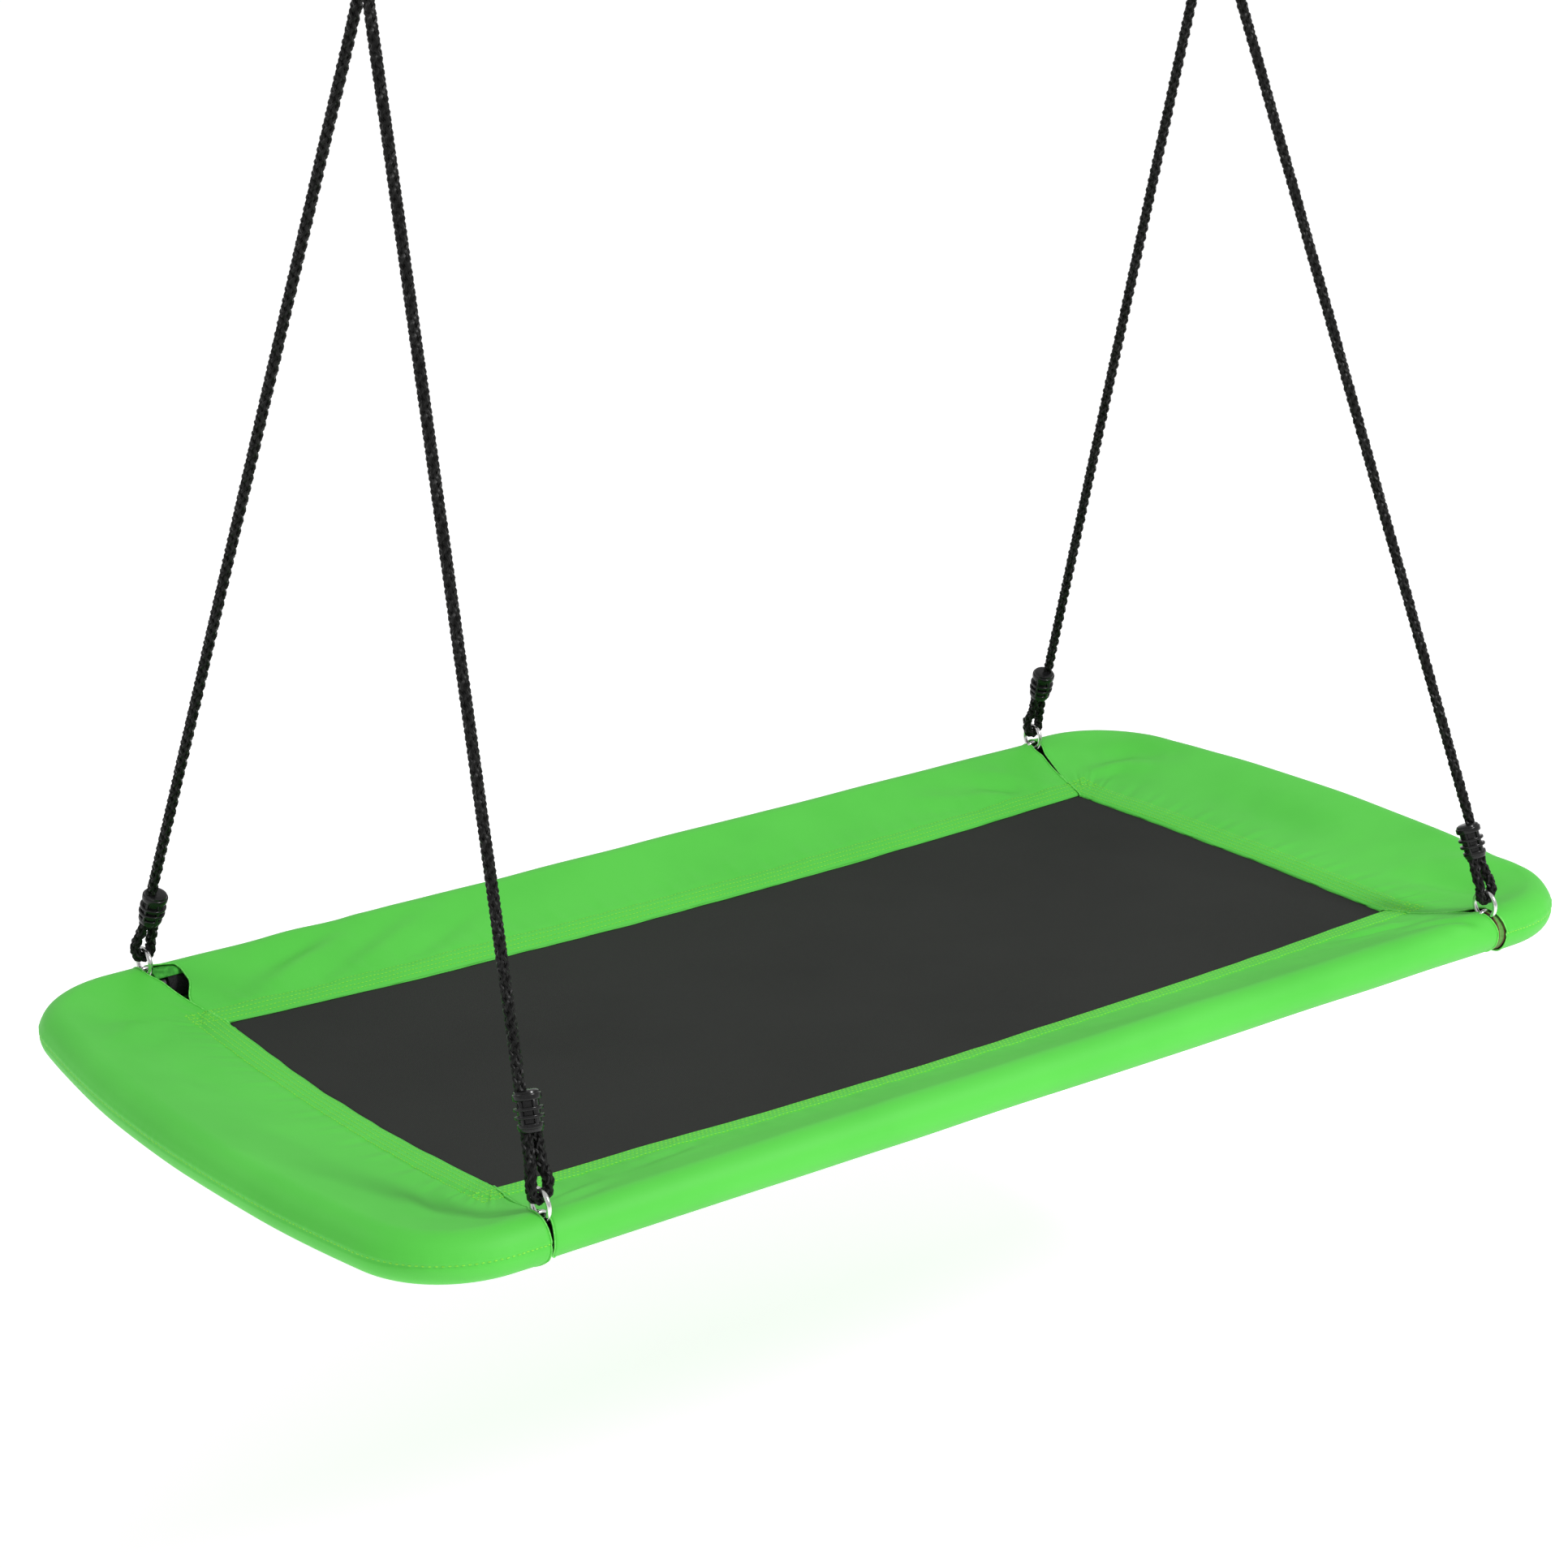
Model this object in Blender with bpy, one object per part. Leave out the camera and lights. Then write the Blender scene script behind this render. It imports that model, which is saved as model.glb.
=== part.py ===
"""A rectangular platform swing: a padded tube frame with a mat, hung from two rope bridles.

Metres, +Z up. +X runs along the platform, -Y is its front. The origin is the middle of the hang
line, the line along X through the top bars of the two hanging rings, which the swing turns about.
"""
from math import asin, cos, hypot, pi, radians, sin, sqrt

import bmesh
import bpy
from mathutils import Matrix, Vector

# ---- driving dimensions -------------------------------------------------------------------
LENGTH = 1.524          # platform, over the padded ends
WIDTH = 0.764           # platform, over the padded corners
DROP = 1.138            # hang line down to the middle of the frame tube

TUBE_R = 0.0125         # frame tube, outside
TUBE_WALL = 0.0015
FOAM_WALL = 0.0055
END_SLEEVE_WALL = 0.0050
SIDE_SLEEVE_WALL = 0.0022
MAT_DROP = 0.008        # the mat lies this much below the middle of the tube
CORNER_R = 0.088        # bend of the tube at each corner
BOW_R = 1.60            # gentle bow of the tube across each end

MAT_LENGTH = 1.120
MAT_WIDTH = 0.488
MAT_THICK = 0.003

RING_X = 0.589          # the four lower rings, from the middle
HANG_X = 0.500          # the two hanging rings, from the middle
LOWER_RING_R = 0.0140   # ring radius to the middle of its bar
LOWER_RING_BAR = 0.0025
HANGING_RING_R = 0.0210
HANGING_RING_BAR = 0.0040

ROPE_R = 0.00525
BIGHT_SLACK = 0.00085   # between a ring's bar and the rope that turns under it
ADJUSTER_WALL = 0.0012  # left outside the adjuster's bores at its waist
ADJUSTER_LENGTH = 0.037
ADJUSTER_WAIST = 0.95   # the barrel between its two end collars, as a share of its radius
ADJUSTER_UP = {         # rope loop left between each adjuster and its ring
    "front_left": 0.050,
    "front_right": 0.038,
    "back_left": 0.034,
    "back_right": 0.044,
}
TAIL_IN = 0.031         # how far the tail goes up into its adjuster
ROPE_STRAY = 0.00025     # how far a rope's straight pieces may leave its curve
COLLAR_LENGTH = 0.030   # the collar that ties the two legs together
COLLAR_WALL = 0.0016
EYE_LENGTH = 0.056      # collar's top up to the middle of the rope in the hanging ring

STAPLE_BAR = 0.0020     # U-bolts that hold the lower rings
STAPLE_HALF = 0.0071    # half the distance between a U-bolt's legs
PLATE_THICK = 0.004
SCREW_R = 0.0020
SCREW_INSET = 0.0135    # joint screw, from the ring towards the middle
SPIGOT_IN = 0.030       # how far the side tube's neck goes past the ring
LAP = 0.044             # how far the end tube comes back past the ring

HOOK_BAR = 0.0045       # the carabiner's bar
HOOK_HEIGHT = 0.084     # over its bars' middles
HOOK_TOP_R = 0.0200
HOOK_FOOT_R = 0.0120
HOOK_NECK = 0.0090      # straight part of the bar that carries the gate's hinge
HINGE_DROP = 0.0035     # pin, below the end of the bar
TONGUE = 0.0030         # thickness of the gate's tongue
TONGUE_BELOW = 0.0026   # tongue left below the pin
GATE_BAR = 0.0040
PIN_R = 0.0011

SEAM_BACK = 0.019       # side sleeve's mouth, from the ring
SEAM_OUT = 0.015        # end sleeve's mouth, from the ring
HEM_SHORT = 0.003       # how far a hem stops short of the mat's corner
HEM_FAN = 0.0025        # steps between the hem points that fan out round each corner
GAP = 0.0003            # left between pieces that touch
HOLE_GAP = 0.0007       # between a bolt, screw or rope and the hole it runs in
SIDES = 12              # corners of every round section on the frame
ADJUSTER_SIDES = 16

SIDE_NAMES = {-1: "left", 1: "right"}
ROW_NAMES = {-1: "front", 1: "back"}

# ---- what follows from them ---------------------------------------------------------------
MID_Z = -DROP
MAT_Z = MID_Z - MAT_DROP
SPIGOT_R = TUBE_R - TUBE_WALL - GAP
FOAM_IN = TUBE_R + GAP
FOAM_R = FOAM_IN + FOAM_WALL
SLEEVE_IN = FOAM_R + GAP
END_ROLL = SLEEVE_IN + END_SLEEVE_WALL
SIDE_ROLL = SLEEVE_IN + SIDE_SLEEVE_WALL
TUBE_Y = WIDTH / 2 - END_ROLL
TUBE_END_X = LENGTH / 2 - END_ROLL
RING_BAR_Z = MID_Z + TUBE_R + GAP + LOWER_RING_BAR
RING_TOP_Z = RING_BAR_Z + 2 * LOWER_RING_R
BIGHT_Z = RING_TOP_Z
BIGHT_R = LOWER_RING_BAR + ROPE_R + BIGHT_SLACK     # how wide the rope turns under the bar
STRAND_GAP = 2 * ROPE_R + GAP                       # between the middles of a leg's strands
WAIST_R = STRAND_GAP / 2 + ROPE_R + HOLE_GAP + ADJUSTER_WALL
ADJUSTER_R = WAIST_R / ADJUSTER_WAIST / cos(pi / ADJUSTER_SIDES)
HOOK_FOOT_Z = -(HANGING_RING_BAR + HOOK_BAR + GAP)
EYE_Z = -2 * HANGING_RING_R + HANGING_RING_BAR + GAP + ROPE_R
COLLAR_TOP_Z = EYE_Z - EYE_LENGTH
COLLAR_FOOT_Z = COLLAR_TOP_Z - COLLAR_LENGTH
STRAND_Y = ROPE_R + 0.0006

PAINTS = {
    "sleeve_fabric": ((0.110, 0.600, 0.075, 1), 0.75, 0.0),
    "mat_mesh": ((0.032, 0.034, 0.030, 1), 0.85, 0.0),
    "black_tube": ((0.020, 0.020, 0.020, 1), 0.40, 0.0),
    "foam": ((0.045, 0.045, 0.045, 1), 0.90, 0.0),
    "zinc_steel": ((0.720, 0.720, 0.710, 1), 0.28, 1.0),
    "black_rope": ((0.018, 0.018, 0.018, 1), 0.60, 0.0),
    "black_plastic": ((0.022, 0.022, 0.022, 1), 0.30, 0.0),
}


# ---- helpers ------------------------------------------------------------------------------
def clear_scene():
    for thing in list(bpy.data.objects):
        bpy.data.objects.remove(thing, do_unlink=True)


def paint(name):
    material = bpy.data.materials.get(name)
    if material is None:
        material = bpy.data.materials.new(name)
        material.use_nodes = True
        shader = material.node_tree.nodes["Principled BSDF"]
        color, roughness, metallic = PAINTS[name]
        shader.inputs["Base Color"].default_value = color
        shader.inputs["Roughness"].default_value = roughness
        shader.inputs["Metallic"].default_value = metallic
    return material


def place(thing, finish, parent=None, at=(0, 0, 0), turn=None):
    """Links an object, paints it and puts its origin at a place in the world."""
    bpy.context.scene.collection.objects.link(thing)
    thing.data.materials.append(paint(finish))
    world = Matrix.Translation(at) @ (turn.to_4x4() if turn else Matrix())
    if parent is not None:
        thing.parent = parent
        world = Matrix.Translation(-Vector(parent["at"])) @ world
    thing.matrix_local = world
    return thing


def from_bmesh(name, shape, finish, parent=None, at=(0, 0, 0), turn=None, sharp=40):
    bmesh.ops.recalc_face_normals(shape, faces=shape.faces)
    mesh = bpy.data.meshes.new(name)
    shape.to_mesh(mesh)
    shape.free()
    mesh.shade_smooth()
    mesh.set_sharp_from_angle(angle=radians(sharp))
    return place(bpy.data.objects.new(name, mesh), finish, parent, at, turn)


def joint_empty(name, at):
    empty = bpy.data.objects.new(name, None)
    empty["at"] = at
    empty.location = at
    bpy.context.scene.collection.objects.link(empty)
    return empty


def lofted(sections, closed=False):
    """A body through rings of points: open bodies get end faces, closed ones join up."""
    shape = bmesh.new()
    rings = [[shape.verts.new(point) for point in section] for section in sections]
    pairs = list(zip(rings, rings[1:]))
    if closed:
        pairs.append((rings[-1], rings[0]))
    for near, far in pairs:
        for i in range(len(near)):
            j = (i + 1) % len(near)
            shape.faces.new((near[i], near[j], far[j], far[i]))
    if not closed:
        shape.faces.new(rings[0])
        shape.faces.new(rings[-1])
    return shape


def shell(outer, inner):
    """A tube with a wall, open at both ends, from its outer and inner rings."""
    return lofted(list(outer) + list(reversed(inner)), closed=True)


def circle(middle, across, up, radius, sides=SIDES):
    angles = [2 * pi * i / sides for i in range(sides)]
    return [middle + radius * (cos(a) * across + sin(a) * up) for a in angles]


def smooth_route(points):
    """Closely spaced points on a centripetal spline through the route's own points."""
    points = [Vector(p) for p in points]
    ends = [2 * points[0] - points[1]] + points + [2 * points[-1] - points[-2]]
    fine = []
    for a, b, c, d in zip(ends, ends[1:], ends[2:], ends[3:]):
        t1 = sqrt((b - a).length)
        t2 = t1 + sqrt((c - b).length)
        t3 = t2 + sqrt((d - c).length)
        for step in range(24):
            t = t1 + (t2 - t1) * step / 24
            p = a.lerp(b, t / t1)
            q = b.lerp(c, (t - t1) / (t2 - t1))
            r = c.lerp(d, (t - t2) / (t3 - t2))
            p = p.lerp(q, t / t2)
            r = q.lerp(r, (t - t1) / (t3 - t1))
            fine.append(p.lerp(r, (t - t1) / (t2 - t1)))
    fine.append(points[-1])
    return fine


def strays(points, start, end):
    """How far the points between two of them lie from the straight line that joins those two."""
    line = (points[end] - points[start]).normalized()
    steps = [points[i] - points[start] for i in range(start + 1, end)]
    return max(((step - line * step.dot(line)).length for step in steps), default=0)


def rope_tube(name, route, parent, at):
    """A rope's solid, with points close together in its bends and further apart on its runs."""
    fine = smooth_route(route)
    kept = [0]
    for i in range(1, len(fine)):
        long_run = (fine[i] - fine[kept[-1]]).length > 6 * ROPE_R
        if long_run or strays(fine, kept[-1], i) > ROPE_STRAY:
            kept.append(i - 1)
    kept = [fine[i] for i in kept + [len(fine) - 1]]
    curve = bpy.data.curves.new(name, "CURVE")
    curve.dimensions = "3D"
    curve.bevel_depth = ROPE_R
    curve.bevel_resolution = 2
    curve.use_fill_caps = True
    spline = curve.splines.new("POLY")
    spline.points.add(len(kept) - 1)
    for target, point in zip(spline.points, kept):
        target.co = (*(point - Vector(at)), 1)
    return place(bpy.data.objects.new(name, curve), "black_rope", parent, at)


def cut(target, cutter):
    """Takes a cutter out of a piece; the cutter stays as a guide that isn't built."""
    cutter.hide_render = True
    cutter.display_type = "WIRE"
    hole = target.modifiers.new("cut_" + cutter.name, "BOOLEAN")
    hole.operation = "DIFFERENCE"
    hole.solver = "EXACT"
    hole.object = cutter


def drill(name, middle, along, radius, depth, sides=8):
    along = Vector(along).normalized()
    across = along.orthogonal().normalized()
    up = along.cross(across)
    ends = [Vector(middle) - along * depth / 2, Vector(middle) + along * depth / 2]
    shape = lofted([circle(end, across, up, radius, sides) for end in ends])
    return from_bmesh(name, shape, "black_tube")


# ---- the frame's centre line --------------------------------------------------------------
def end_line():
    """Centre line of the right end tube, front to back: (point, outward direction) pairs."""
    bow_x = TUBE_END_X - BOW_R
    corner_y = TUBE_Y - CORNER_R
    corner_x = bow_x + sqrt((BOW_R - CORNER_R) ** 2 - corner_y ** 2)
    turn = asin(corner_y / (BOW_R - CORNER_R))
    back = []
    for i in range(2):
        angle = turn * i / 2
        back.append((Vector((bow_x + BOW_R * cos(angle), BOW_R * sin(angle), MID_Z)), angle))
    for i in range(5):
        angle = turn + (pi / 2 - turn) * i / 4
        point = Vector((corner_x + CORNER_R * cos(angle), corner_y + CORNER_R * sin(angle), MID_Z))
        back.append((point, angle))
    back = [(point, Vector((cos(angle), sin(angle), 0))) for point, angle in back]
    front = [(Vector((p.x, -p.y, p.z)), Vector((n.x, -n.y, 0))) for p, n in back[:0:-1]]
    return front + back


def end_run(start_x):
    """The same line, run straight back at both ends to a given x."""
    line = end_line()
    front = (Vector((start_x, -TUBE_Y, MID_Z)), Vector((0, -1, 0)))
    back = (Vector((start_x, TUBE_Y, MID_Z)), Vector((0, 1, 0)))
    return [front] + line + [back]


def mirrored(sections):
    return [[Vector((-p.x, p.y, p.z)) for p in section] for section in sections]


def tube_sections(run, radius):
    return [circle(point, out, Vector((0, 0, 1)), radius) for point, out in run]


def end_piece(name, side, outer, inner, finish, parent):
    if side < 0:
        outer, inner = mirrored(outer), mirrored(inner)
    return from_bmesh(name, shell(outer, inner), finish, parent)


# ---- tubes and foam -----------------------------------------------------------------------
def end_tube(side, parent):
    run = end_run(RING_X - LAP)
    outer = tube_sections(run, TUBE_R)
    inner = tube_sections(run, TUBE_R - TUBE_WALL)
    return end_piece(f"end_tube_{SIDE_NAMES[side]}", side, outer, inner, "black_tube", parent)


def side_tube(row, parent):
    """A straight tube whose two necks slide into the end tubes."""
    shoulder = RING_X - LAP - GAP
    tip = RING_X + SPIGOT_IN
    wall = TUBE_WALL
    outer = [(-tip, SPIGOT_R), (-shoulder, SPIGOT_R), (-shoulder, TUBE_R)]
    outer += [(-x, r) for x, r in reversed(outer)]
    inner = [(-tip, SPIGOT_R - wall), (-shoulder + wall, SPIGOT_R - wall)]
    inner += [(-x, r) for x, r in reversed(inner)]
    across = Vector((0, 1, 0))
    up = Vector((0, 0, 1))
    at = Vector((0, row * TUBE_Y, MID_Z))
    rings = [[circle(Vector((x, 0, 0)), across, up, r) for x, r in part] for part in (outer, inner)]
    return from_bmesh(f"side_tube_{ROW_NAMES[row]}", shell(*rings), "black_tube", parent, at)


def side_foam(row, parent):
    half = RING_X - SEAM_BACK - GAP
    rings = []
    for radius in (FOAM_R, FOAM_IN):
        ends = [Vector((-half, 0, 0)), Vector((half, 0, 0))]
        rings.append([circle(end, Vector((0, 1, 0)), Vector((0, 0, 1)), radius) for end in ends])
    at = (0, row * TUBE_Y, MID_Z)
    return from_bmesh(f"side_foam_{ROW_NAMES[row]}", shell(*rings), "foam", parent, at)


def end_foam(side, parent):
    run = end_run(RING_X + SEAM_OUT + GAP)
    outer = tube_sections(run, FOAM_R)
    inner = tube_sections(run, FOAM_IN)
    return end_piece(f"end_foam_{SIDE_NAMES[side]}", side, outer, inner, "foam", parent)


# ---- sleeves and mat ----------------------------------------------------------------------
def sleeve_section(middle, out, hem, roll):
    """A drop-shaped section: round over the tube, drawn flat to the hem at the mat's edge."""
    up = Vector((0, 0, 1))
    points = circle(middle, out, up, roll)
    half = Vector((0, 0, MAT_THICK / 2))
    points[5], points[6], points[7] = hem + half, hem.copy(), hem - half
    shoulder = middle - out * roll * 0.55
    for corner, sign in ((4, 1), (8, -1)):
        high = shoulder + up * sign * roll * 0.93
        points[corner] = high.lerp(points[5 if sign > 0 else 7], 0.12)
    return points


def hem_points(run):
    """Where each section of an end sleeve meets the mat's short edge, front to back."""
    corner = MAT_WIDTH / 2 - HEM_SHORT
    reach = TUBE_Y - CORNER_R * 0.75
    hems = []
    for index, (point, _) in enumerate(run):
        from_end = min(index, len(run) - 1 - index)
        row = 1 if point.y > 0 else -1
        if abs(point.y) > reach:
            y = row * (corner - HEM_FAN * from_end)
        else:
            y = point.y / reach * (corner - 8 * HEM_FAN)
        hems.append(Vector((MAT_LENGTH / 2 + GAP, y, MAT_Z)))
    return hems


def end_sleeve(side, parent):
    run = end_run(RING_X + SEAM_OUT)
    outer = [sleeve_section(p, n, hem, END_ROLL) for (p, n), hem in zip(run, hem_points(run))]
    inner = tube_sections(run, SLEEVE_IN)
    name = f"end_sleeve_{SIDE_NAMES[side]}"
    return end_piece(name, side, outer, inner, "sleeve_fabric", parent)


def side_sleeve(row, parent):
    out = Vector((0, row, 0))
    at = Vector((0, row * TUBE_Y, MID_Z))
    outer, inner = [], []
    for sign in (-1, 1):
        middle = Vector((sign * (RING_X - SEAM_BACK), 0, 0))
        hem_y = row * (MAT_WIDTH / 2 + GAP - TUBE_Y)
        hem = Vector((sign * (MAT_LENGTH / 2 - HEM_SHORT), hem_y, -MAT_DROP))
        outer.append(sleeve_section(middle, out, hem, SIDE_ROLL))
        inner.append(circle(middle, out, Vector((0, 0, 1)), SLEEVE_IN))
    shape = shell(outer, inner)
    return from_bmesh(f"side_sleeve_{ROW_NAMES[row]}", shape, "sleeve_fabric", parent, at)


def mat(parent):
    shape = bmesh.new()
    bmesh.ops.create_cube(shape, size=1)
    bmesh.ops.scale(shape, verts=shape.verts, vec=(MAT_LENGTH, MAT_WIDTH, MAT_THICK))
    return from_bmesh("mat", shape, "mat_mesh", parent, (0, 0, MAT_Z))


# ---- lower hardware -----------------------------------------------------------------------
def bar(name, route, radius, finish, parent=None, at=(0, 0, 0), sides=8):
    """A round bar bent along a short list of points, with flat ends."""
    route = [Vector(point) for point in route]
    sections = []
    across = None
    for i, point in enumerate(route):
        before = route[max(i - 1, 0)]
        after = route[min(i + 1, len(route) - 1)]
        along = (after - before).normalized()
        if across is None:
            across = along.orthogonal()
        across = (across - along * across.dot(along)).normalized()
        sections.append(circle(point, across, along.cross(across), radius, sides))
    return from_bmesh(name, lofted(sections), finish, parent, at)


def arc(middle, radius, start, end, steps, across, up):
    angles = [radians(start + (end - start) * i / steps) for i in range(steps + 1)]
    return [Vector(middle) + radius * (cos(a) * across + sin(a) * up) for a in angles]


def round_ring(name, radius, bar_radius, axis, parent, at, major=14, minor=8):
    """A closed ring lying across its axis."""
    across = Vector(axis).orthogonal().normalized()
    up = Vector(axis).cross(across)
    sections = []
    for i in range(major):
        angle = 2 * pi * i / major
        out = cos(angle) * across + sin(angle) * up
        sections.append(circle(out * radius, out, Vector(axis), bar_radius, minor))
    return from_bmesh(name, lofted(sections, closed=True), "zinc_steel", parent, at)


def staple(name, x, y, parent):
    """The U-bolt over a lower ring's bar; its legs go down through both tubes and the plate."""
    foot = -(RING_BAR_Z - MID_Z) - TUBE_R - GAP - PLATE_THICK - 0.002
    crown = arc((0, 0, 0), STAPLE_HALF, 180, 0, 6, Vector((1, 0, 0)), Vector((0, 0, 1)))
    route = [Vector((-STAPLE_HALF, 0, foot))] + crown + [Vector((STAPLE_HALF, 0, foot))]
    return bar(name, route, STAPLE_BAR, "zinc_steel", parent, (x, y, RING_BAR_Z))


def plate(name, x, y, parent):
    """The tapped plate under the tube that the U-bolt's legs are drawn down into."""
    shape = bmesh.new()
    bmesh.ops.create_cube(shape, size=1)
    length = 2 * (STAPLE_HALF + STAPLE_BAR + 0.0034)
    bmesh.ops.scale(shape, verts=shape.verts, vec=(length, 0.012, PLATE_THICK))
    z = MID_Z - TUBE_R - GAP - PLATE_THICK / 2
    return from_bmesh(name, shape, "zinc_steel", parent, (x, y, z))


def screw(name, x, y, parent):
    """A self-tapping screw through the end tube's wall and the neck inside it."""
    out = Vector((0, 1 if y > 0 else -1, 0))
    seat = TUBE_R + GAP
    profile = [(seat - 0.008, 0.5), (seat - 0.0068, 1), (seat, 1), (seat, 2.25)]
    profile += [(seat + 0.0014, 2.05), (seat + 0.0024, 1.2)]
    across = Vector((1, 0, 0))
    rings = [circle(out * d, across, Vector((0, 0, 1)), r * SCREW_R, 10) for d, r in profile]
    return from_bmesh(name, lofted(rings), "zinc_steel", parent, (x, y, MID_Z))


def corner_holes(side, row, tubes, plate_piece, name):
    """Clearance holes for the U-bolt's legs and the joint screw."""
    x, y = side * RING_X, row * TUBE_Y
    for leg in (-1, 1):
        middle = (x + leg * STAPLE_HALF, y, MID_Z)
        cutter = drill(f"leg_hole_{name}_{leg}", middle, (0, 0, 1), STAPLE_BAR + HOLE_GAP, 0.08)
        for piece in tubes + [plate_piece]:
            cut(piece, cutter)
    middle = (side * (RING_X - SCREW_INSET), y + row * TUBE_R, MID_Z)
    cutter = drill(f"screw_hole_{name}", middle, (0, 1, 0), SCREW_R + HOLE_GAP, 0.018)
    for piece in tubes:
        cut(piece, cutter)


# ---- ropes, adjusters and collars ---------------------------------------------------------
def leg_frame(side, row):
    """A leg's straight strand: its foot, its direction, and the direction to its second strand."""
    inward = Vector((-side, 0, 0))
    foot = Vector((side * RING_X, row * TUBE_Y, BIGHT_Z)) - inward * STRAND_GAP / 2
    top = Vector((side * HANG_X, row * STRAND_Y, COLLAR_FOOT_Z - 0.006))
    along = (top - foot).normalized()
    beside = (inward - along * inward.dot(along)).normalized()
    return foot, top, along, beside


def leg_route(side, row):
    """One leg, from under its lower ring up to the collar."""
    foot, top, along, beside = leg_frame(side, row)
    middle = Vector((side * RING_X, row * TUBE_Y, BIGHT_Z - BIGHT_R))
    inward = Vector((-side, 0, 0))
    deep = BIGHT_R
    under = [
        middle + inward * deep + Vector((0, 0, deep * 1.50)),
        middle + inward * deep * 0.97 + Vector((0, 0, deep * 0.92)),
        middle + inward * deep * 0.66 + Vector((0, 0, deep * 0.24)),
        middle,
        middle - inward * deep * 0.66 + Vector((0, 0, deep * 0.24)),
        middle - inward * deep * 0.97 + Vector((0, 0, deep * 0.92)),
        middle - inward * deep + Vector((0, 0, deep * 1.50)),
    ]
    run = (top - foot).length
    reach = [0.030, 0.036, 0.045, 0.075, 0.15, 0.30, 0.45, 0.60, 0.75, 0.88]
    straight = [foot + along * step for step in reach if step < run - 0.03]
    return under + straight + [top - along * 0.022]


def rope_route(side):
    """The whole bridle: front leg, eye through the hanging ring, back leg."""
    x = side * HANG_X
    high = COLLAR_TOP_Z
    front = leg_route(side, -1)
    back = leg_route(side, 1)
    foot = COLLAR_FOOT_Z
    collar = [(x, -STRAND_Y, z) for z in (foot - 0.003, foot + 0.006, high - 0.006, high + 0.002)]
    eye = [
        (x, -0.0100, high + 0.016),
        (x, -0.0140, high + 0.030),
        (x, -0.0132, high + 0.043),
        (x, -0.0085, EYE_Z - 0.0030),
        (x, 0, EYE_Z),
    ]
    rising = [Vector(p) for p in collar + eye]
    falling = [Vector((p.x, -p.y, p.z)) for p in reversed(rising[:-1])]
    return front + rising + falling + list(reversed(back))


def tail_route(side, row):
    """The short second strand, from the bight up into the adjuster."""
    foot, _, along, beside = leg_frame(side, row)
    met, before = leg_route(side, row)[:2]
    onward = (met - before).normalized()
    base = foot + beside * STRAND_GAP
    rise = ADJUSTER_UP[f"{ROW_NAMES[row]}_{SIDE_NAMES[side]}"] + TAIL_IN
    return [
        met + onward * 1.5 * GAP,
        met + onward * 0.004,
        base + along * 0.019 + beside * 0.0010,
        base + along * 0.029,
        base + along * 0.036,
        base + along * rise,
    ]


def adjuster(corner, side, row, parent):
    """A barrel with two end collars, its bores side by side for the strand and the tail."""
    foot, _, along, beside = leg_frame(side, row)
    name = f"adjuster_{corner}"
    turn = Matrix((beside, along.cross(beside), along)).transposed()
    half = ADJUSTER_LENGTH / 2
    middle = foot + along * (ADJUSTER_UP[corner] + half)
    profile = [(-half, 0.86), (-half + 0.003, 1), (-half + 0.008, 1)]
    profile += [(-half + 0.009, ADJUSTER_WAIST)]
    profile += [(-z, r) for z, r in reversed(profile)]
    across, up = Vector((1, 0, 0)), Vector((0, 1, 0))
    lean = STRAND_GAP / 2
    rings = [circle(Vector((lean, 0, z)), across, up, r * ADJUSTER_R, ADJUSTER_SIDES)
             for z, r in profile]
    piece = from_bmesh(name, lofted(rings), "black_plastic", parent, middle, turn)
    bore = ROPE_R + HOLE_GAP
    cut(piece, drill(f"main_bore_{name}", middle, along, bore, 2 * ADJUSTER_LENGTH, SIDES))
    top = foot + beside * STRAND_GAP + along * (ADJUSTER_UP[corner] + TAIL_IN + GAP)
    blind = top - along * TAIL_IN
    cut(piece, drill(f"tail_bore_{name}", blind, along, bore, 2 * TAIL_IN, SIDES))
    return piece


def collar(name, side, parent):
    """The tie that closes the rope's eye: a flat-sided tube round both strands."""
    at = Vector((side * HANG_X, 0, COLLAR_FOOT_Z))
    rings = []
    for wall in (COLLAR_WALL, 0):
        ring = ROPE_R + GAP + 0.0002 + wall
        loop = []
        for middle, start in ((STRAND_Y, 0), (-STRAND_Y, 180)):
            for i in range(7):
                angle = radians(start + 30 * i)
                loop.append(Vector((ring * cos(angle), middle + ring * sin(angle), 0)))
        rings.append([loop, [p + Vector((0, 0, COLLAR_LENGTH)) for p in loop]])
    return from_bmesh(name, shell(*rings), "black_plastic", parent, at)


# ---- carabiner ----------------------------------------------------------------------------
def hook_line():
    """The carabiner's bar in its own plane: its head from the nose down, its foot to the hinge."""
    across, up = Vector((0, 1, 0)), Vector((0, 0, 1))
    top = Vector((0, HOOK_TOP_R - HOOK_FOOT_R, HOOK_HEIGHT - HOOK_TOP_R))
    foot = Vector((0, 0, HOOK_FOOT_R))
    head = arc(top, HOOK_TOP_R, 176, 0, 8, across, up)
    heel = arc(foot, HOOK_FOOT_R, 0, -180, 7, across, up)
    return head, heel + [heel[-1] + Vector((0, 0, HOOK_NECK))]


def hinge_point():
    """The gate's pin, in the carabiner's frame."""
    return hook_line()[1][-1] - Vector((0, 0, HINGE_DROP))


def block(name, middle, size):
    shape = bmesh.new()
    bmesh.ops.create_cube(shape, size=1)
    bmesh.ops.scale(shape, verts=shape.verts, vec=size)
    return from_bmesh(name, shape, "zinc_steel", None, middle)


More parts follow.
